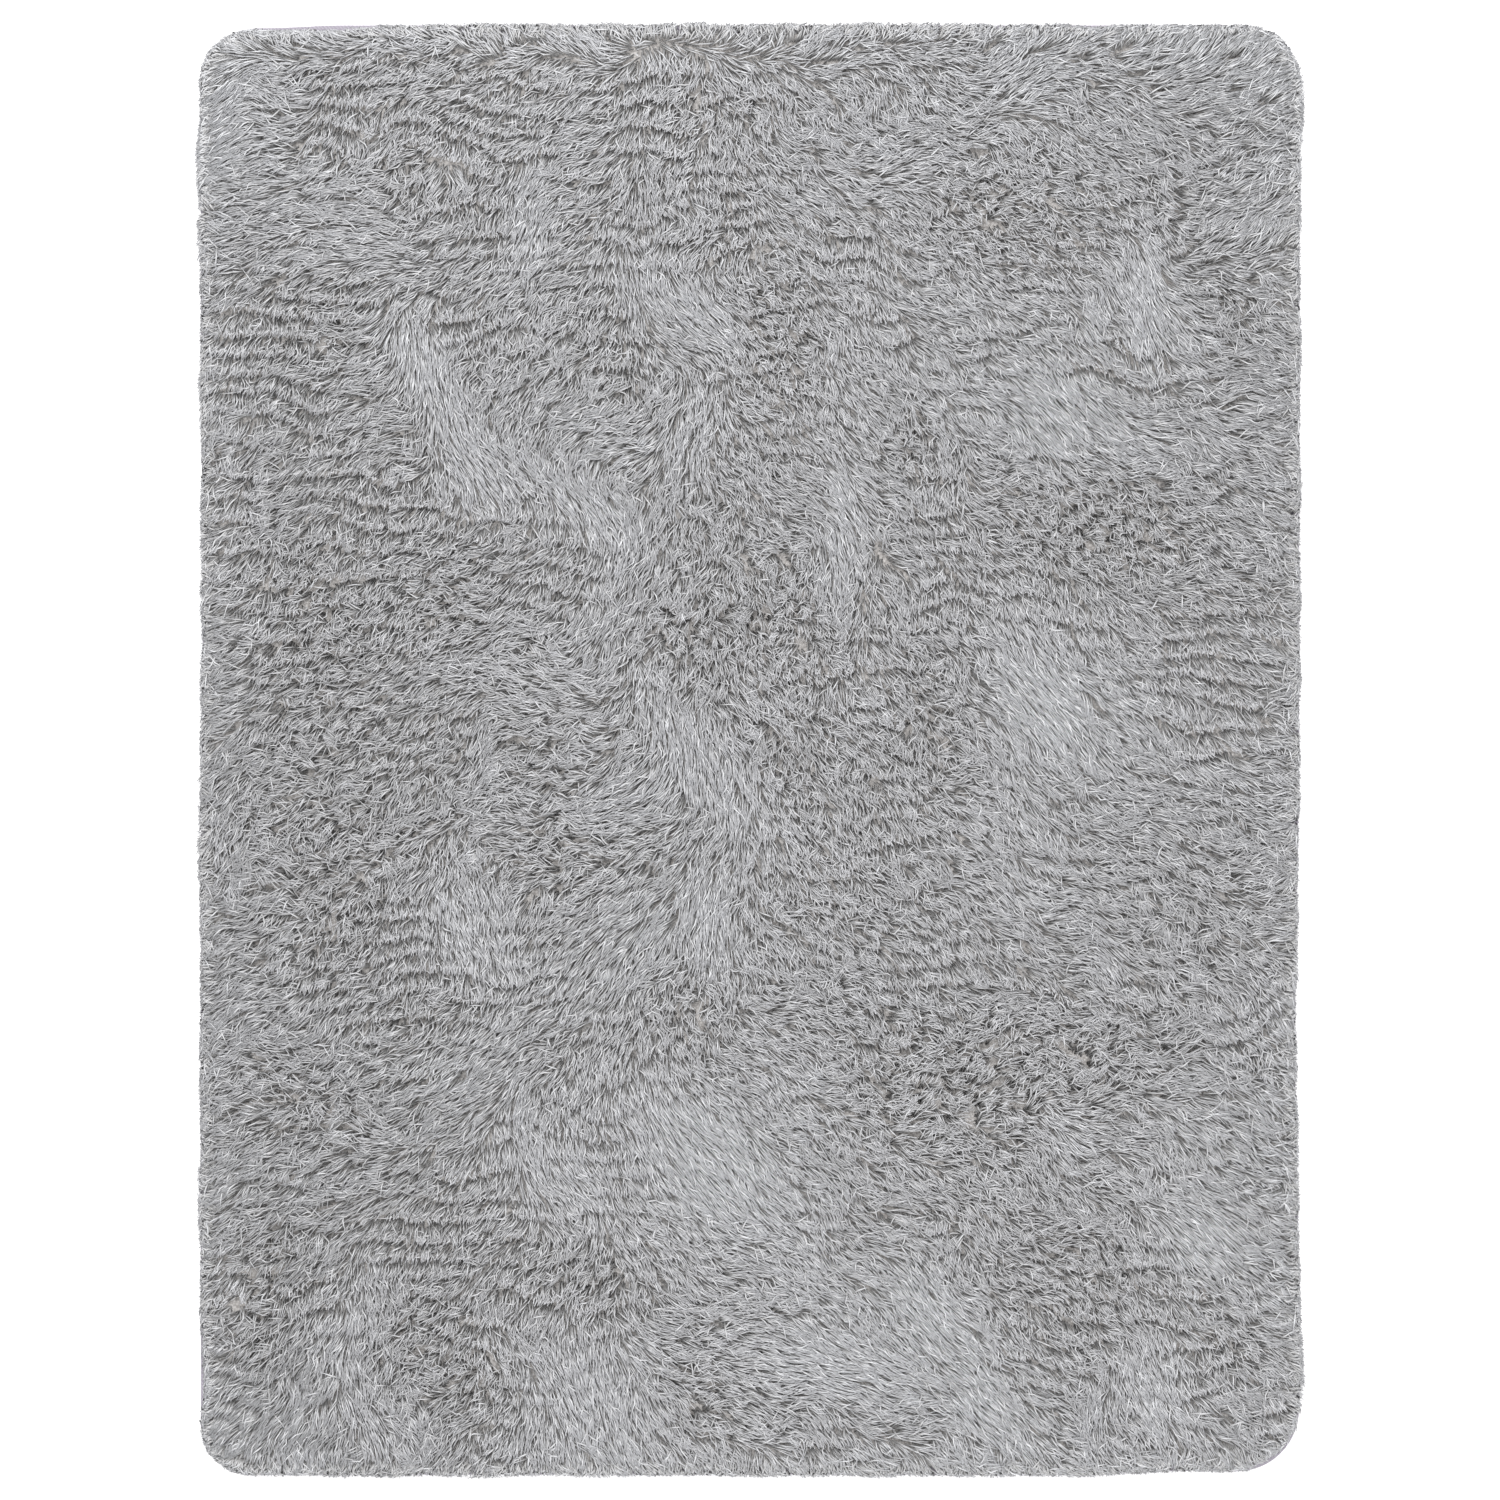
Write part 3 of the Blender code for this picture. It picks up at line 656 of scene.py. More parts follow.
def pile_top(x, y, flat, crushed):
    """Height of the combed surface, without its locks."""
    height = PILE_HEIGHT + humps_at(x, y, ROLL) - FLAT_SINK * flat
    height += humps_at(x, y, HOLLOW) * (HOLLOW_UNCRUSHED + crushed) * (1 - flat)
    depth, _ = edge_depth(x, y)
    fall = np.clip(1 - depth / SHOULDER, 0, 1)
    return height * (EDGE_SHARE + (1 - EDGE_SHARE) * np.sqrt(1 - fall ** 2))


# A measure that changes with the lie: what it is in plain pile, and what is added to it where the
# pile is combed flat or crushed
ByLie = namedtuple("ByLie", "plain flat crushed")


def by_lie(measure, flat, crushed):
    """The measure at places with this flatness and crush."""
    return measure.plain + measure.flat * flat + measure.crushed * crushed


# Standing yarn ends seen down their length: dead matt, broken into bundles about 3 mm wide. The
# colour is painted shade: darker than the yarn over it, and darkest between the bundles.
BUNDLE = 3.0 * MM
roots_yarn, tree, shader = new_material(
    "packed polyester yarn roots", {"Roughness": 0.95, "IOR": 1.5, "Specular IOR Level": 0.15}
)
place = add_node(tree, "ShaderNodeTexCoord").outputs["Object"]
bundles = add_node(tree, "ShaderNodeTexVoronoi", {"Vector": place, "Scale": 1 / BUNDLE}).outputs["Distance"]
tones = add_node(
    tree, "ShaderNodeValToRGB", {"Fac": bundles},
    stops=[(0.0, "#B4B2B0"), (0.45, "#9B9896"), (0.9, "#7A7775")],
)
dents = add_node(
    tree, "ShaderNodeBump", {"Height": bundles, "Strength": 0.9, "Distance": 1.5 * MM}, invert=True
)
tree.links.new(tones.outputs["Color"], shader.inputs["Base Color"])
tree.links.new(dents.outputs["Normal"], shader.inputs["Normal"])

ROOTS_CELL = 15 * MM
ROOTS_INSET = TAPE_WIDTH + 2.0 * MM
ROOTS_FOOT = CLOTH_THICK + GAP
ROOTS_LEAST = 1.5 * MM
ROOTS_SINK = ByLie(plain=8.5 * MM, flat=0.0, crushed=7.0 * MM)
across, along = unit_grid(ROOTS_CELL)
rim = border_of(*across.shape)
x, y = plan(across.ravel(), along.ravel(), ROOTS_INSET)
_, flat, crushed = lie_of(x, y)
top = pile_top(x, y, flat, crushed) - by_lie(ROOTS_SINK, flat, crushed)
roots_points = np.concatenate([
    np.stack([x, y, np.full(x.shape, ROOTS_FOOT)], axis=1),
    np.stack([x, y, np.maximum(top, ROOTS_FOOT + ROOTS_LEAST)], axis=1),
])
roots_faces = [
    sheet_faces(*across.shape)[:, ::-1],
    len(x) + sheet_faces(*across.shape),
    strip_faces(rim, len(x) + rim),
]
packed_roots = mesh_object("packed_roots", roots_points, roots_faces, roots_yarn)
packed_roots.data.set_sharp_from_angle(angle=math.radians(50))
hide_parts("pile")
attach(packed_roots, "root")


# ---------------------------------------------------------------------------------------------
# Shag yarn. Each end is a soft two-ply polyester yarn, tufted through the cloth and cut at its
# tip. The ends lie over with the comb in pointed locks, each of which hangs over the roots of the
# next. A low layer fills the dark between them, and the face over it is made in four quarters.
# ---------------------------------------------------------------------------------------------

# Twisted polyester yarn: a soft grey with a slight gloss on the turns of its plies. Its colour is
# painted duller, darker and browner towards the root and lighter at the tip: painted shade for the
# light that doesn't reach down into the pile. The plies turn once in about 6 mm, in an end about
# 30 mm long. The UV map holds a column for each tone of yarn: across a column runs round the yarn,
# and up it runs from root to tip.
YARN_TONES = 24
PLY_TURN = 6.0 * MM
YARN_LONG = 30.0 * MM
shag, tree, shader = new_material(
    "twisted polyester shag yarn",
    {
        "Roughness": 0.75, "IOR": 1.5, "Specular IOR Level": 0.22,
        "Sheen Weight": 0.15, "Sheen Roughness": 0.5,
    },
)
chart = add_node(tree, "ShaderNodeUVMap", uv_map="OFBake")
axes = add_node(tree, "ShaderNodeSeparateXYZ", {"Vector": chart.outputs["UV"]})
column = add_node(
    tree, "ShaderNodeMath", {0: axes.outputs["X"], 1: float(YARN_TONES)}, operation="MULTIPLY"
).outputs[0]
round_yarn = add_node(tree, "ShaderNodeMath", {0: column}, operation="FRACT").outputs[0]
tone = add_node(tree, "ShaderNodeMath", {0: column}, operation="FLOOR").outputs[0]
tone_share = add_node(tree, "ShaderNodeMath", {0: tone, 1: YARN_TONES - 1.0}, operation="DIVIDE").outputs[0]
# painted shade along each end: darker and browner at the root, lighter at the tip
painted_root_shade = add_node(
    tree, "ShaderNodeValToRGB", {"Fac": axes.outputs["Y"]},
    stops=[(0.0, "#A8A6A5"), (0.30, "#C3C3C3"), (0.65, "#D4D5D7"), (1.0, "#DDDEE2")],
).outputs["Color"]
tone_colour = add_node(
    tree, "ShaderNodeValToRGB", {"Fac": tone_share},
    stops=[(0.0, "#CAC9C8"), (0.5, "#E8E7E7"), (1.0, "#F9F9FA")],
).outputs["Color"]
turns = add_node(
    tree, "ShaderNodeMath", {0: axes.outputs["Y"], 1: YARN_LONG / PLY_TURN, 2: round_yarn},
    operation="MULTIPLY_ADD",
).outputs[0]
angle = add_node(tree, "ShaderNodeMath", {0: turns, 1: 2 * math.pi}, operation="MULTIPLY").outputs[0]
plies = add_node(tree, "ShaderNodeMath", {0: angle}, operation="SINE").outputs[0]
ply_tone = add_node(
    tree, "ShaderNodeMapRange", {"Value": plies, "From Min": -1.0, "To Min": 0.86, "To Max": 1.0}
).outputs["Result"]
toned = add_node(
    tree, "ShaderNodeMix", {0: 1.0, 6: painted_root_shade, 7: tone_colour}, data_type="RGBA", blend_type="MULTIPLY"
).outputs[2]
twisted = add_node(
    tree, "ShaderNodeMix", {0: 1.0, 6: toned, 7: ply_tone}, data_type="RGBA", blend_type="MULTIPLY"
).outputs[2]
dents = add_node(tree, "ShaderNodeBump", {"Height": plies, "Strength": 0.35, "Distance": 0.2 * MM})
tree.links.new(twisted, shader.inputs["Base Color"])
tree.links.new(dents.outputs["Normal"], shader.inputs["Normal"])

# Locks: each gathers the ends round its middle, and has a tone, a lift and a turn of its own. It
# is about twice as long as wide, and lies across the rug with a slight tilt.
Locks = namedtuple("Locks", "x y way tone lift turn")
LOCKS_SEED = 31
LOCK_PITCH = 11.5 * MM
LOCK_JITTER = 0.48
LOCK_LONG = 2.1
LOCK_TILT = Humps(span=120 * MM, size=0.35, seed=32)
NEAR_CELLS = (-2, -1, 0, 1, 2)
lock_counts = (round(RUG_WIDTH / LOCK_PITCH), round(RUG_LENGTH / LOCK_PITCH))


def make_locks():
    """A lock for each cell of a jittered grid all over the rug."""
    random = np.random.default_rng(LOCKS_SEED)
    cells = np.meshgrid(*(np.arange(count) for count in lock_counts), indexing="ij")
    x, y = (
        ((cell + 0.5 + random.uniform(-LOCK_JITTER, LOCK_JITTER, cell.shape)) / count - 0.5) * span
        for cell, count, span in zip(cells, lock_counts, (RUG_WIDTH, RUG_LENGTH))
    )
    way, _, _ = lie_of(x, y)
    return Locks(x, y, way, *random.normal(0, 1, (3, *x.shape)))


locks = make_locks()


def nearest_lock(x, y, ways, flat):
    """Each place's own lock. Locks are long across the rug, or along the comb where it lies flat."""
    combed = ways * np.where(ways[:, :1] < 0, -1, 1)
    across = np.stack([np.ones(len(x)), humps_at(x, y, LOCK_TILT)], axis=1)
    axis = unit(flat[:, None] * combed + (1 - flat[:, None]) * across)
    columns, rows = lock_counts
    own_i = here_i = np.clip(((x / RUG_WIDTH + 0.5) * columns).astype(int), 0, columns - 1)
    own_j = here_j = np.clip(((y / RUG_LENGTH + 0.5) * rows).astype(int), 0, rows - 1)
    nearest = np.full(x.shape, np.inf)
    for step_i in NEAR_CELLS:
        for step_j in NEAR_CELLS:
            i = np.clip(here_i + step_i, 0, columns - 1)
            j = np.clip(here_j + step_j, 0, rows - 1)
            dx = x - locks.x[i, j]
            dy = y - locks.y[i, j]
            run = (dx * axis[:, 0] + dy * axis[:, 1]) / LOCK_LONG
            distance = np.hypot(run, dy * axis[:, 0] - dx * axis[:, 1])
            closer = distance < nearest
            nearest = np.where(closer, distance, nearest)
            own_i = np.where(closer, i, own_i)
            own_j = np.where(closer, j, own_j)
    return own_i, own_j


# A straight end is a slim wedge: an edge at its root and a shorter edge, turned from it, at its
# tip. A bent end has an edge at its root, three corners round its middle, with a crest above, and
# a point at its tip. Each is a closed body. The table has, by the number of corners, the faces,
# and each corner's place round the yarn and up it.
Shape = namedtuple("Shape", "faces round_yarn up")
SHAPES = {
    4: Shape(
        faces=((0, 1, 2), (1, 0, 3), (2, 3, 0), (3, 2, 1)),
        round_yarn=(0.15, 0.85, 0.35, 0.65),
        up=(0, 0, 1, 1),
    ),
    6: Shape(
        faces=((0, 3, 2), (0, 1, 3), (1, 4, 3), (1, 0, 4), (0, 2, 4), (2, 3, 5), (3, 4, 5), (4, 2, 5)),
        round_yarn=(0.15, 0.85, 0.15, 0.5, 0.85, 0.5),
        up=(0, 0, 0.5, 0.5, 0.5, 1),
    ),
}
# how far both edges of a straight end are turned from level, and how much shorter the tip's is
YARN_TURN = math.radians(28)
YARN_TIP_SHARE = 0.55
# how high the crest of a bent end stands over its middle, in half widths
RING_CREST = 0.8
# kept free below the roots and above the tips in the UV map
UV_MARGIN = 0.01


def across_of(root, tip):
    """Two directions across each end: a level one, and the one over it."""
    run = unit(tip - root)
    side = unit(np.column_stack([-left_of(run[:, :2]), np.zeros(len(root))]))
    return side, np.cross(side, run)


def straight_ends(root, tip, width):
    """Corners of straight ends between these points: an array of ends by 4 by 3."""
    side, over = across_of(root, tip)
    low = (side * math.cos(YARN_TURN) + over * math.sin(YARN_TURN)) * width[:, None] / 2
    high = (side * math.cos(YARN_TURN) - over * math.sin(YARN_TURN)) * width[:, None] / 2 * YARN_TIP_SHARE
    return np.stack([root - low, root + low, tip - high, tip + high], axis=1)


def bent_ends(root, middle, tip, width):
    """Corners of bent ends through these points: an array of ends by 6 by 3."""
    side, over = across_of(root, tip)
    side *= width[:, None] / 2
    crest = RING_CREST * over * width[:, None] / 2
    ring = [middle - side - crest / 2, middle + crest, middle + side - crest / 2]
    return np.stack([root - side, root + side, *ring, tip], axis=1)


def yarn_object(name, bundles):
    """One object of yarn ends from (corners, tones, low) bundles.

    Low is how far up the yarn the bodies start, 0 to 1.
    """
    points = []
    faces = []
    uvs = []
    start = 0
    for corners, tones, low in bundles:
        ends, count, _ = corners.shape
        shape = SHAPES[count]
        first = start + count * np.arange(ends)[:, None, None]
        faces.append((first + np.array(shape.faces)).reshape(-1, 3))
        u = (tones[:, None] + np.array(shape.round_yarn)) / YARN_TONES
        v = UV_MARGIN + (1 - 2 * UV_MARGIN) * (low + (1 - low) * np.array(shape.up))
        points.append(corners.reshape(-1, 3))
        uvs.append(np.stack([u, np.broadcast_to(v, u.shape)], axis=2).reshape(-1, 2))
        start += count * ends
    return mesh_object(name, np.concatenate(points), faces, shag, np.concatenate(uvs))


# Ridges. The locks stand in wavy rows across the rug, strongest towards its long sides, above all
# the left, and in patches. The tips of a row end together at its brow and hang over the low roots
# of the next, with a dark line under them.
RIDGE_PITCH = 27.0 * MM
RIDGE_RISE = 9.0 * MM
RIDGE_WAVES = (
    Humps(span=110 * MM, size=26.0 * MM, seed=45),
    Humps(span=50 * MM, size=14.0 * MM, seed=46),
    Humps(span=20 * MM, size=4.5 * MM, seed=47),
)
# how far from the rug's middle line the ridges begin to grow, and how far out they are full
RIDGE_SIDE_FROM = 0.15
RIDGE_SIDE_TO = 0.42
RIDGE_AT_MIDDLE = 0.55
RIDGE_AT_LEFT = 0.25
RIDGE_MEAN = 0.76
RIDGE_PATCHES = Humps(span=55 * MM, size=1.1, seed=49)
FLAT_LEVELS = 0.95
RIDGE_EDGE = 30 * MM
# how strongly a ridge turns the locks towards its brow
PULL_AT_MIDDLE = 1.0
PULL_AT_SIDE = 0.45
# the brow is on the near side (-Y) where this is over 0, and on the far side where it is under
HANG_MEAN = 0.9
HANG_PATCHES = Humps(span=150 * MM, size=2.5, seed=50)


def ridges(x, y, flat):
    """Height over the mean, the pull along Y, how strong the ridges are and the way to the brow."""
    wave = sum(humps_at(x, y, humps) for humps in RIDGE_WAVES)
    place = np.mod((y + wave) / RIDGE_PITCH, 1.0)
    side = np.clip((np.abs(x) - RIDGE_SIDE_FROM) / (RIDGE_SIDE_TO - RIDGE_SIDE_FROM), 0, 1)
    depth, _ = edge_depth(x, y)
    strong = (RIDGE_AT_MIDDLE + (1 - RIDGE_AT_MIDDLE) * side) * (1 - FLAT_LEVELS * flat)
    strong *= np.clip(depth / RIDGE_EDGE, 0, 1)
    at_left = RIDGE_AT_LEFT * (x < -RIDGE_SIDE_FROM)
    strong *= np.clip(RIDGE_MEAN + humps_at(x, y, RIDGE_PATCHES) + at_left, 0, 1)
    hang = np.clip(HANG_MEAN + humps_at(x, y, HANG_PATCHES), -1, 1)
    room = np.where(hang > 0, place, 1 - place) * RIDGE_PITCH
    pull = -strong * hang * (PULL_AT_MIDDLE + (PULL_AT_SIDE - PULL_AT_MIDDLE) * side)
    return RIDGE_RISE * strong * hang * (0.5 - place), pull, strong * np.abs(hang), room


# Tones, from 0 dark to 1 light, mixed at random from end to end and lock to lock. Over that lies
# painted light and shade: a painted sheen where the pile is flat, painted light near the edge and
# towards the rug's far end (+Y), and painted shade where it is crushed, where a wider mix also
# paints light tips round dark pits
TONE = ByLie(plain=0.51, flat=0.31, crushed=-0.31)
TONE_MIXED = ByLie(plain=0.14, flat=-0.10, crushed=0.13)
TONE_OF_LOCK = 0.08
PAINTED_LIGHT_AT_EDGE = 0.22
EDGE_BAND = 60 * MM
PAINTED_LIGHT_AT_END = 0.17
END_FROM = 0.35
END_FADE = 0.40


def yarn_tones(x, y, random, lock, flat, crushed, shade=0.0):
    """The tone column of each end, darkened by the shade."""
    depth, _ = edge_depth(x, y)
    # painted sheen where the pile is flat, painted shade where it is crushed
    share = by_lie(TONE, flat, crushed) - shade
    share += by_lie(TONE_MIXED, flat, crushed) * random.normal(0, 1, len(x))
    share += TONE_OF_LOCK * locks.tone[lock]
    # painted light near the edge and towards the rug's far end (+Y)
    share += PAINTED_LIGHT_AT_EDGE * np.clip(1 - depth / EDGE_BAND, 0, 1)
    share += PAINTED_LIGHT_AT_END * np.clip((y - END_FROM) / END_FADE, 0, 1)
    return np.clip((share * YARN_TONES).astype(int), 0, YARN_TONES - 1)


# How far the yarn hangs past the edge all round, and where tufts stick out further, or stop short
# of the edge and show the tape
REACH_PAST = 1.2 * MM
REACH_WAVERS = (
    Humps(span=12 * MM, size=1.3 * MM, seed=41),
    Humps(span=34 * MM, size=2.0 * MM, seed=42),
)
EDGE_PLACE_FADE = 1.2
EdgePlace = namedtuple("EdgePlace", "x y half_span reach")
EDGE_PLACES = (
    EdgePlace(x=-0.610, y=0.655, half_span=0.050, reach=0.0045),
    EdgePlace(x=-0.610, y=0.575, half_span=0.040, reach=0.0040),
    EdgePlace(x=-0.610, y=-0.105, half_span=0.045, reach=0.0040),
    EdgePlace(x=0.610, y=0.705, half_span=0.055, reach=0.0055),
    EdgePlace(x=0.610, y=-0.680, half_span=0.070, reach=0.0040),
    EdgePlace(x=-0.460, y=0.805, half_span=0.110, reach=-0.0090),
    EdgePlace(x=0.375, y=0.805, half_span=0.040, reach=-0.0060),
    EdgePlace(x=0.580, y=-0.780, half_span=0.060, reach=-0.0090),
    EdgePlace(x=-0.610, y=-0.680, half_span=0.055, reach=-0.0070),
)


def edge_reach(x, y):
    """How far past the rug's edge the yarn near this place may hang out."""
    reach = REACH_PAST + sum(humps_at(x, y, humps) for humps in REACH_WAVERS)
    for place in EDGE_PLACES:
        distance = np.hypot(x - place.x, y - place.y) / place.half_span
        reach += place.reach * smooth_bump(distance / EDGE_PLACE_FADE)
    return reach


# Which way a lock lies: how far it turns from the comb, and how loose it is to turn
LOCK_TURN = math.radians(38)
LOOSE = ByLie(plain=0.45, flat=0.0, crushed=0.55)
LOOSE_AT_EDGE = 0.35
FLAT_TIDIES = 0.75
# How far the tips reach from their roots, and how they are brought in line along their lock and
# up to the brow of their ridge
REACH = ByLie(plain=25 * MM, flat=2 * MM, crushed=-7 * MM)
REACH_AT_SIDES = 5 * MM
SIDES_FROM = 0.35
SIDES_FADE = 0.20
REACH_VARIES = 3.0 * MM
LEAST_REACH = 6 * MM
MOST_REACH = 38 * MM
IN_LINE = ByLie(plain=0.3, flat=0.0, crushed=0.4)
PAST_BROW = 4 * MM
BROW_VARIES = 2.2 * MM
BROW_HOLD = 1.5
LEAST_TO_BROW = 0.35
# How the ends are drawn together: the roots of a crushed lock to its middle, and the tips of every
# lock to its middle line. Each strays from that by some degrees, and those that would hang out too
# far are drawn back.
CRUSH_GATHERS = 0.38
DRAWN = ByLie(plain=0.30, flat=0.0, crushed=0.30)
FLAT_SPREADS = 0.9
ASIDE = ByLie(plain=1.0 * MM, flat=0.0, crushed=1.8 * MM)
Stray = namedtuple("Stray", "least loose")
STRAIGHT_STRAY = Stray(least=4, loose=9)
BENT_STRAY = Stray(least=9, loose=34)
PAST_VARIES = 0.15
# Heights over the combed surface: a lock rises along its length, its roots lie lower than its
# tips, and the tips droop at the edge. A bent end stands higher, with its middle higher still.
LOCK_HALF = 0.6 * LOCK_PITCH
LOCK_SLOPE = ByLie(plain=0.6 * MM, flat=0.0, crushed=3.0 * MM)
LOCK_LIFT = ByLie(plain=0.4 * MM, flat=0.0, crushed=2.3 * MM)
YARN_SINK = ByLie(plain=5.4 * MM, flat=-3.2 * MM, crushed=7.0 * MM)
TIP_RISE = 0.5 * MM
TIP_VARIES = 0.5 * MM
CRUSH_TIP_RISE = 1.0 * MM
CRUSH_TIP_VARIES = 1.6 * MM
EDGE_DROOP = 3.5 * MM
EDGE_DROOP_FROM = 6 * MM
BENT_TIP_RISE = 1.0 * MM
BENT_TIP_VARIES = 3.0 * MM
BEND_RISE = 1.5 * MM
BEND_VARIES = 2.2 * MM
LEAST_HEIGHT = 1.2 * MM
MOST_HEIGHT = 41.0 * MM
YARN_WIDTH = 1.65 * MM
WIDTH_VARIES = 0.2


def yarn_widths(count, random):
    """The width of each of so many ends."""
    return YARN_WIDTH * random.uniform(1 - WIDTH_VARIES, 1 + WIDTH_VARIES, count)


def lay_yarn(x, y, random, low, sunk=0.0, bent=False):
    """A bundle of yarn ends rooted at these places, lying over in their locks.

    Low is how far up the yarn the body starts, and sunk is how far below the combed surface the
    ends lie.
    """
    # none are rooted where the tape lies bare
    tufted = edge_depth(x, y)[0] > -edge_reach(x, y)
    x = x[tufted]
    y = y[tufted]
    count = len(x)
    ways, flat, crushed = lie_of(x, y)
    ridge, pull, ridged, room = ridges(x, y, flat)
    lock = nearest_lock(x, y, ways, flat)
    depth, out = edge_depth(x, y)

    # the way of the lock, and each root's place along it and across it
    loose = by_lie(LOOSE, flat, crushed) + LOOSE_AT_EDGE * np.clip(1 - depth / EDGE_BAND, 0, 1)
    loose *= 1 - FLAT_TIDIES * flat
    lock_way = unit(ways + locks.way[lock])
    lock_way = turned(lock_way, LOCK_TURN * loose * locks.turn[lock])
    lock_way = unit(lock_way + np.stack([np.zeros(count), pull], axis=1))
    square = left_of(lock_way)
    from_lock = np.stack([x - locks.x[lock], y - locks.y[lock]], axis=1)
    run = (from_lock * lock_way).sum(axis=1)
    wide = (from_lock * square).sum(axis=1)
    # where the pile is crushed, the whole lock is pulled together and leaves a pit beside it
    rooted = np.stack([x, y], axis=1) - CRUSH_GATHERS * crushed[:, None] * from_lock
    x, y = rooted.T

    # how far the tips reach
    at_sides = np.clip((np.abs(x) - SIDES_FROM) / SIDES_FADE, 0, 1)
    reach = by_lie(REACH, flat, crushed) + REACH_AT_SIDES * at_sides
    reach += random.normal(0, REACH_VARIES, count)
    reach -= by_lie(IN_LINE, flat, crushed) * run
    to_brow = room + PAST_BROW + random.normal(0, BROW_VARIES, count)
    to_brow /= np.maximum(np.abs(lock_way[:, 1]), LEAST_TO_BROW)
    reach += np.minimum(to_brow - reach, 0) * np.clip(BROW_HOLD * ridged, 0, 1)
    reach = np.clip(reach, LEAST_REACH, MOST_REACH)
    # how far they are drawn aside, and stray
    drawn = by_lie(DRAWN, flat, crushed) * (1 - FLAT_SPREADS * flat)
    aside = random.normal(0, 1, count) * by_lie(ASIDE, flat, crushed) - drawn * wide
    strays = BENT_STRAY if bent else STRAIGHT_STRAY
    stray = np.radians(random.normal(0, 1, count) * (strays.least + strays.loose * loose))
    tip = rooted + turned(lock_way * reach[:, None] + square * aside[:, None], stray)
    past = np.maximum(-edge_depth(*tip.T)[0] - edge_reach(x, y), 0)
    past *= 1 + PAST_VARIES * np.abs(random.normal(0, 1, count))
    tip -= out * past[:, None]

    # how high the roots and the tips lie
    lift = by_lie(LOCK_SLOPE, flat, crushed) * np.clip(run / LOCK_HALF, -1, 1)
    lift += by_lie(LOCK_LIFT, flat, crushed) * locks.lift[lock]
    lift = ridge - sunk + (1 - flat) * lift
    root_height = pile_top(x, y, flat, crushed) + lift - by_lie(YARN_SINK, flat, crushed)
    at_edge = np.clip(1 - edge_depth(*tip.T)[0] / EDGE_DROOP_FROM, 0, 1)
    tip_height = pile_top(*tip.T, flat, crushed) + lift
    tip_height += TIP_RISE + random.normal(0, TIP_VARIES, count)
    tip_height += (CRUSH_TIP_RISE + random.normal(0, CRUSH_TIP_VARIES, count)) * crushed
    tip_height -= np.abs(random.normal(0, EDGE_DROOP, count)) * at_edge
    if bent:
        tip_height += BENT_TIP_RISE + np.abs(random.normal(0, BENT_TIP_VARIES, count)) * (1 - flat)
    root = np.column_stack([rooted, np.clip(root_height, ROOTS_FOOT, MOST_HEIGHT)])
    tip = np.column_stack([tip, np.clip(tip_height, LEAST_HEIGHT, MOST_HEIGHT)])
    width = yarn_widths(count, random)
    tones = yarn_tones(x, y, random, lock, flat, crushed)
    if not bent:
        return straight_ends(root, tip, width), tones, low
    bend = random.normal(0, BEND_VARIES, count) * (1 + crushed)
    middle = (root + tip) / 2 + np.column_stack([square * bend[:, None], np.full(count, BEND_RISE)])
    middle[:, 2] = np.minimum(middle[:, 2], MOST_HEIGHT)
    return bent_ends(root, middle, tip, width), tones, low


def scattered(pitch, inset, random):
    """Jittered places all over the rug, one to each cell of this pitch: x and y."""
    columns = round(RUG_WIDTH / pitch)
    rows = round(RUG_LENGTH / pitch)
    column, row = np.meshgrid(np.arange(columns), np.arange(rows), indexing="ij")
    across = (column + random.uniform(0, 1, column.shape)) / columns * 2 - 1
    along = (row + random.uniform(0, 1, row.shape)) / rows * 2 - 1
    return plan(across.ravel(), along.ravel(), inset)


UNDER_SEED = 51
UNDER_PITCH = 8.0 * MM
UNDER_INSET = 8.0 * MM
UNDER_LOW = 0.0
UNDER_SUNK = 4.5 * MM
random = np.random.default_rng(UNDER_SEED)
under_x, under_y = scattered(UNDER_PITCH, UNDER_INSET, random)
under_ends = lay_yarn(under_x, under_y, random, UNDER_LOW, sunk=UNDER_SUNK)
yarn_pieces = [yarn_object("under_yarn", [under_ends])]

# Where the pile is crushed, more of the bent ends are kept, and fewer of the straight ones
FACE_SEED = 52
FACE_PITCH = 3.65 * MM
BENT_PITCH = 6.4 * MM
FACE_INSET = 4.0 * MM
FACE_LOW = 0.15
FACE_CRUSH_LOSS = 0.30
BENT_KEPT = 0.30
BENT_CRUSH_GAIN = 0.60
random = np.random.default_rng(FACE_SEED)
face_x, face_y = scattered(FACE_PITCH, FACE_INSET, random)
bent_x, bent_y = scattered(BENT_PITCH, FACE_INSET, random)
_, _, crushed = lie_of(face_x, face_y)
kept = random.uniform(0, 1, len(face_x)) > FACE_CRUSH_LOSS * crushed
face_x = face_x[kept]
face_y = face_y[kept]
_, _, crushed = lie_of(bent_x, bent_y)
kept = random.uniform(0, 1, len(bent_x)) < BENT_KEPT + BENT_CRUSH_GAIN * crushed
bent_x = bent_x[kept]
bent_y = bent_y[kept]
Quarter = namedtuple("Quarter", "name side_x side_y")
QUARTERS = (
    Quarter("face_yarn_top_left", side_x=-1, side_y=1),
    Quarter("face_yarn_top_right", side_x=1, side_y=1),
    Quarter("face_yarn_bottom_left", side_x=-1, side_y=-1),
    Quarter("face_yarn_bottom_right", side_x=1, side_y=-1),
)


def in_quarter(x, y, quarter):
    """Those of the places that lie in this quarter of the rug."""
    inside = (np.sign(x) == quarter.side_x) & (np.sign(y) == quarter.side_y)
    return x[inside], y[inside]


for quarter in QUARTERS:
    straight = lay_yarn(*in_quarter(face_x, face_y, quarter), random, FACE_LOW)
    bent = lay_yarn(*in_quarter(bent_x, bent_y, quarter), random, FACE_LOW, bent=True)
    yarn_pieces.append(yarn_object(quarter.name, [straight, bent]))

for piece in yarn_pieces:
    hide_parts("pile")
    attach(piece, "root")


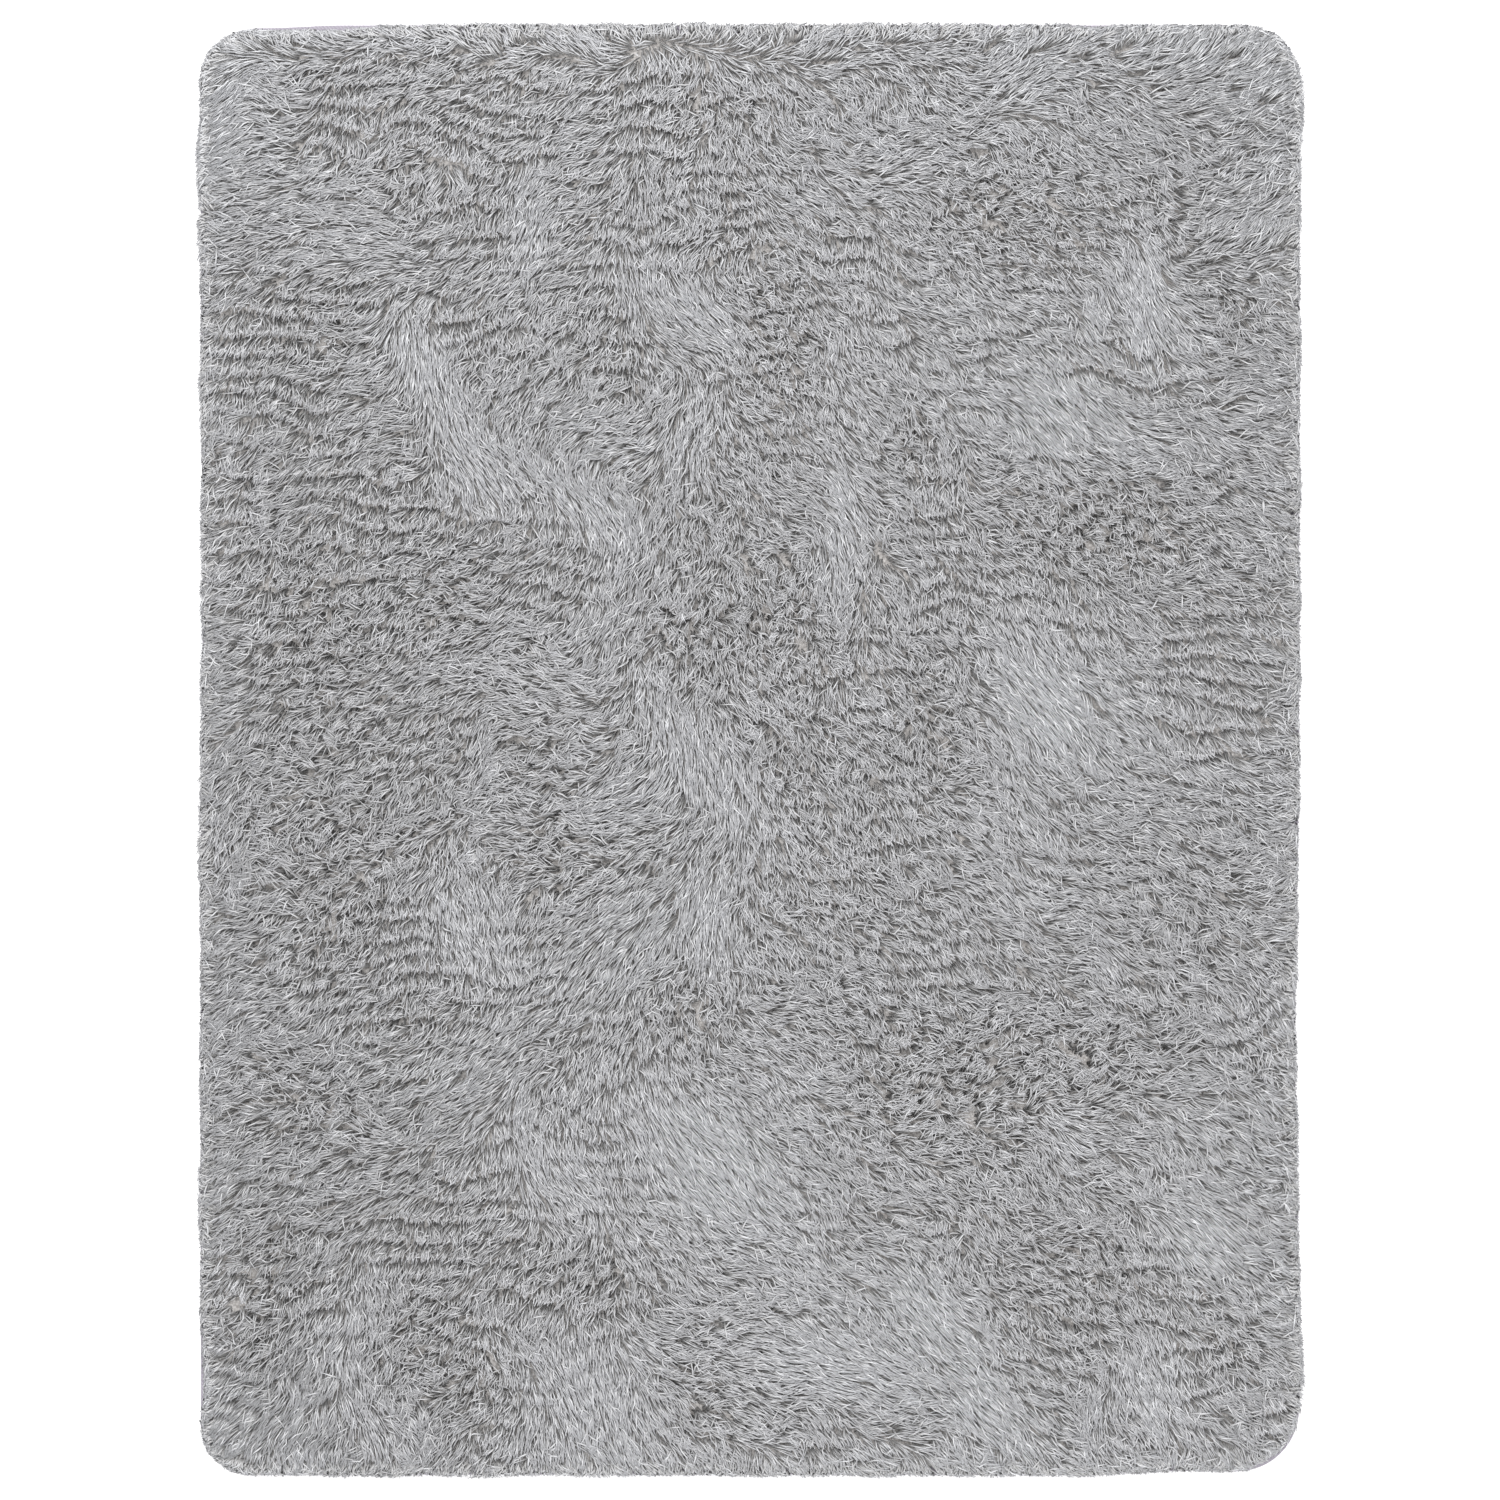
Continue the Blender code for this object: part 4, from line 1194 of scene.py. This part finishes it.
# ---------------------------------------------------------------------------------------------
# Rim yarn. The same yarn, tufted in the outermost rows of the cloth. Nothing beyond holds it up,
# so it flows out over the tape, and its tips hang past the edge, some down to the floor.
# ---------------------------------------------------------------------------------------------

RIM_SEED = 53
RIM_ROWS = (4.0 * MM, 8.0 * MM, 13.0 * MM, 19.0 * MM)
RIM_STEP = 2.9 * MM
RIM_JITTER = 2.0 * MM
RIM_MARGIN = 2.0 * MM
RIM_SHADE = 0.42
RIM_LOW = 0.1
# Which way an end goes: between straight out and the comb's way, and leaning with its tuft
RIM_COMB = 0.7
RIM_LEAN = Humps(span=14 * MM, size=0.50, seed=55)
RIM_LEAN_OF_LOCK = 0.40
RIM_LEAN_VARIES = 0.20
RIM_MOST_LEAN = 0.9
# How far it reaches past the edge, and in all. The ends rooted deep inside are up to a quarter
# shorter, so that they don't all end in one line.
RIM_LEAST_OUT = 0.5
RIM_SHORT = 0.6 * MM
RIM_PAST_OF_LOCK = 0.8 * MM
RIM_PAST_VARIES = 1.0 * MM
RIM_LEAST_PAST = 0.8 * MM
RIM_LEAST_REACH = 4 * MM
RIM_MOST_REACH = 34 * MM
RIM_SHORTER = 0.25
RIM_DEEP = 20 * MM
# How far its tuft draws it aside, and how far along it bends
RIM_DRAWN = 0.5
RIM_TUFT = 8 * MM
RIM_BEND_AT = 0.55
# The share of the pile's height that a tip loses as it hangs over the edge
RIM_HANG_FROM = 5 * MM
RIM_HANG = 0.80
RIM_HANG_OF_LOCK = -0.15
RIM_HANG_VARIES = 0.15
# Heights: the root and the bend lie under the combed surface, and all clear the cloth and the tape
RIM_ROOT_SINK = 6 * MM
RIM_BEND_SINK = 1.2 * MM
RIM_BEND_OF_LOCK = 0.8 * MM
RIM_BEND_VARIES = 1.4 * MM
RIM_TIP_VARIES = 0.8 * MM
OVER_CLOTH = 1.0 * MM
OVER_TAPE = 1.0 * MM
TIP_OVER_TAPE = 0.6 * MM


def lay_rim(inset, random):
    """A bundle of bent ends rooted in a row round the rug, which flow out and hang over its edge."""
    line, out = edge_line(*edge_stations(RIM_STEP), inset)
    line += random.normal(0, RIM_JITTER, line.shape)
    # none are rooted where the tape lies bare
    tufted = edge_depth(*line.T)[0] > RIM_MARGIN - edge_reach(*line.T)
    line = line[tufted]
    out = out[tufted]
    x, y = line.T
    count = len(line)
    ways, flat, crushed = lie_of(x, y)
    depth, _ = edge_depth(x, y)
    lock = nearest_lock(x, y, ways, flat)

    lean = humps_at(x, y, RIM_LEAN) + RIM_LEAN_OF_LOCK * locks.turn[lock]
    lean += random.normal(0, RIM_LEAN_VARIES, count)
    way = turned(unit(out + RIM_COMB * ways), np.clip(lean, -RIM_MOST_LEAN, RIM_MOST_LEAN))
    straight_out = np.maximum((way * out).sum(axis=1), RIM_LEAST_OUT)
    past = edge_reach(x, y)
    varied = past + RIM_PAST_OF_LOCK * locks.lift[lock] + random.normal(0, RIM_PAST_VARIES, count)
    past = np.where(past > 0, np.maximum(varied - RIM_SHORT, RIM_LEAST_PAST), past)
    reach = np.clip((depth + past) / straight_out, RIM_LEAST_REACH, RIM_MOST_REACH)
    reach *= 1 - RIM_SHORTER * random.uniform(0, 1, count) * np.clip(depth / RIM_DEEP, 0, 1)
    sideways = left_of(out)
    from_lock = np.stack([x - locks.x[lock], y - locks.y[lock]], axis=1)
    beside = np.clip((from_lock * sideways).sum(axis=1), -RIM_TUFT, RIM_TUFT)
    drawn = sideways * (-RIM_DRAWN * beside)[:, None]
    middle = line + way * (RIM_BEND_AT * reach)[:, None] + 0.5 * drawn
    tip = line + way * reach[:, None] + drawn

    tip_depth, _ = edge_depth(*tip.T)
    hang = RIM_HANG + RIM_HANG_OF_LOCK * locks.lift[lock] + random.normal(0, RIM_HANG_VARIES, count)
    hang *= np.clip(1 - tip_depth / RIM_HANG_FROM, 0, 1)
    root_height = pile_top(x, y, flat, crushed) - RIM_ROOT_SINK
    middle_height = pile_top(*middle.T, flat, crushed) - RIM_BEND_SINK
    middle_height += RIM_BEND_OF_LOCK * locks.lift[lock] + random.normal(0, RIM_BEND_VARIES, count)
    tip_height = pile_top(*tip.T, flat, crushed) * (1 - hang) + random.normal(0, RIM_TIP_VARIES, count)
    lowest = np.where(tip_depth > 0, TAPE_TOP + TIP_OVER_TAPE, LEAST_HEIGHT)
    root = np.column_stack([line, np.maximum(root_height, ROOTS_FOOT + OVER_CLOTH)])
    middle = np.column_stack([middle, np.maximum(middle_height, TAPE_TOP + OVER_TAPE)])
    tip = np.column_stack([tip, np.maximum(tip_height, lowest)])
    width = yarn_widths(count, random)
    tones = yarn_tones(x, y, random, lock, flat, crushed, RIM_SHADE)
    return bent_ends(root, middle, tip, width), tones, RIM_LOW


random = np.random.default_rng(RIM_SEED)
rim_yarn = yarn_object("rim_yarn", [lay_rim(inset, random) for inset in RIM_ROWS])
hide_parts("pile")
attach(rim_yarn, "root")


# ---------------------------------------------------------------------------------------------
# Floor, light and camera: a matt white floor, big soft lamps above, and a camera straight over
# the rug's middle, with the top of the picture at +Y.
# ---------------------------------------------------------------------------------------------

FLOOR_HALF = 25.0
FLOOR_UNDER = 0.2 * MM
ROOM_LIGHT = 0.8
# metres that the picture spans at the floor, and the camera's lens and sensor in millimetres
VIEW_SPAN = 1.667
LENS = 100.0
SENSOR = 36.0

# Matt white paper: even, with no gloss, and with the faintest grain.
PAPER_GRAIN = 3.333 * MM
paper, tree, shader = new_material("matt white paper", {"Roughness": 0.9, "Specular IOR Level": 0.1})
place = add_node(tree, "ShaderNodeTexCoord").outputs["Object"]
grain = add_node(tree, "ShaderNodeTexNoise", {"Vector": place, "Scale": 1 / PAPER_GRAIN, "Detail": 2.0})
tones = add_node(
    tree, "ShaderNodeValToRGB", {"Fac": grain.outputs["Fac"]}, stops=[(0.3, "#F2F2F2"), (0.7, "#F7F7F7")]
)
tree.links.new(tones.outputs["Color"], shader.inputs["Base Color"])
floor_corners = np.array([(-1, -1, 0), (1, -1, 0), (1, 1, 0), (-1, 1, 0)])
floor_points = FLOOR_HALF * floor_corners - [0, 0, FLOOR_UNDER]
floor = mesh_object("floor", floor_points, [np.array([[0, 1, 2, 3]])], paper)

# Square lamps aimed at the rug's middle: where they are and how wide, in metres, and the watts
Lamp = namedtuple("Lamp", "name x y z size power")
LAMPS = (
    Lamp("softbox above", x=-0.8, y=2.0, z=4.3, size=3.0, power=265.0),
    Lamp("softbox front", x=1.3, y=-2.6, z=3.6, size=2.8, power=126.0),
)
for lamp in LAMPS:
    data = bpy.data.lights.new(lamp.name, "AREA")
    data.shape = "SQUARE"
    data.size = lamp.size
    data.energy = lamp.power
    holder = bpy.data.objects.new(lamp.name, data)
    holder.location = (lamp.x, lamp.y, lamp.z)
    aim = Vector((0, 0, 0)) - holder.location
    holder.rotation_euler = aim.to_track_quat("-Z", "Y").to_euler()
    bpy.context.scene.collection.objects.link(holder)

world = bpy.data.worlds.new("pale room")
world.use_nodes = True
world.node_tree.nodes["Background"].inputs["Color"].default_value = linear("#FFFFFF")
world.node_tree.nodes["Background"].inputs["Strength"].default_value = ROOM_LIGHT
bpy.context.scene.world = world
bpy.context.scene.view_settings.view_transform = "Standard"
bpy.context.scene.view_settings.look = "None"

camera_data = bpy.data.cameras.new("camera above")
camera_data.lens = LENS
camera_data.sensor_width = SENSOR
camera = bpy.data.objects.new("camera above", camera_data)
camera.location = (0.0, 0.0, VIEW_SPAN * LENS / SENSOR)
bpy.context.scene.collection.objects.link(camera)
bpy.context.scene.camera = camera
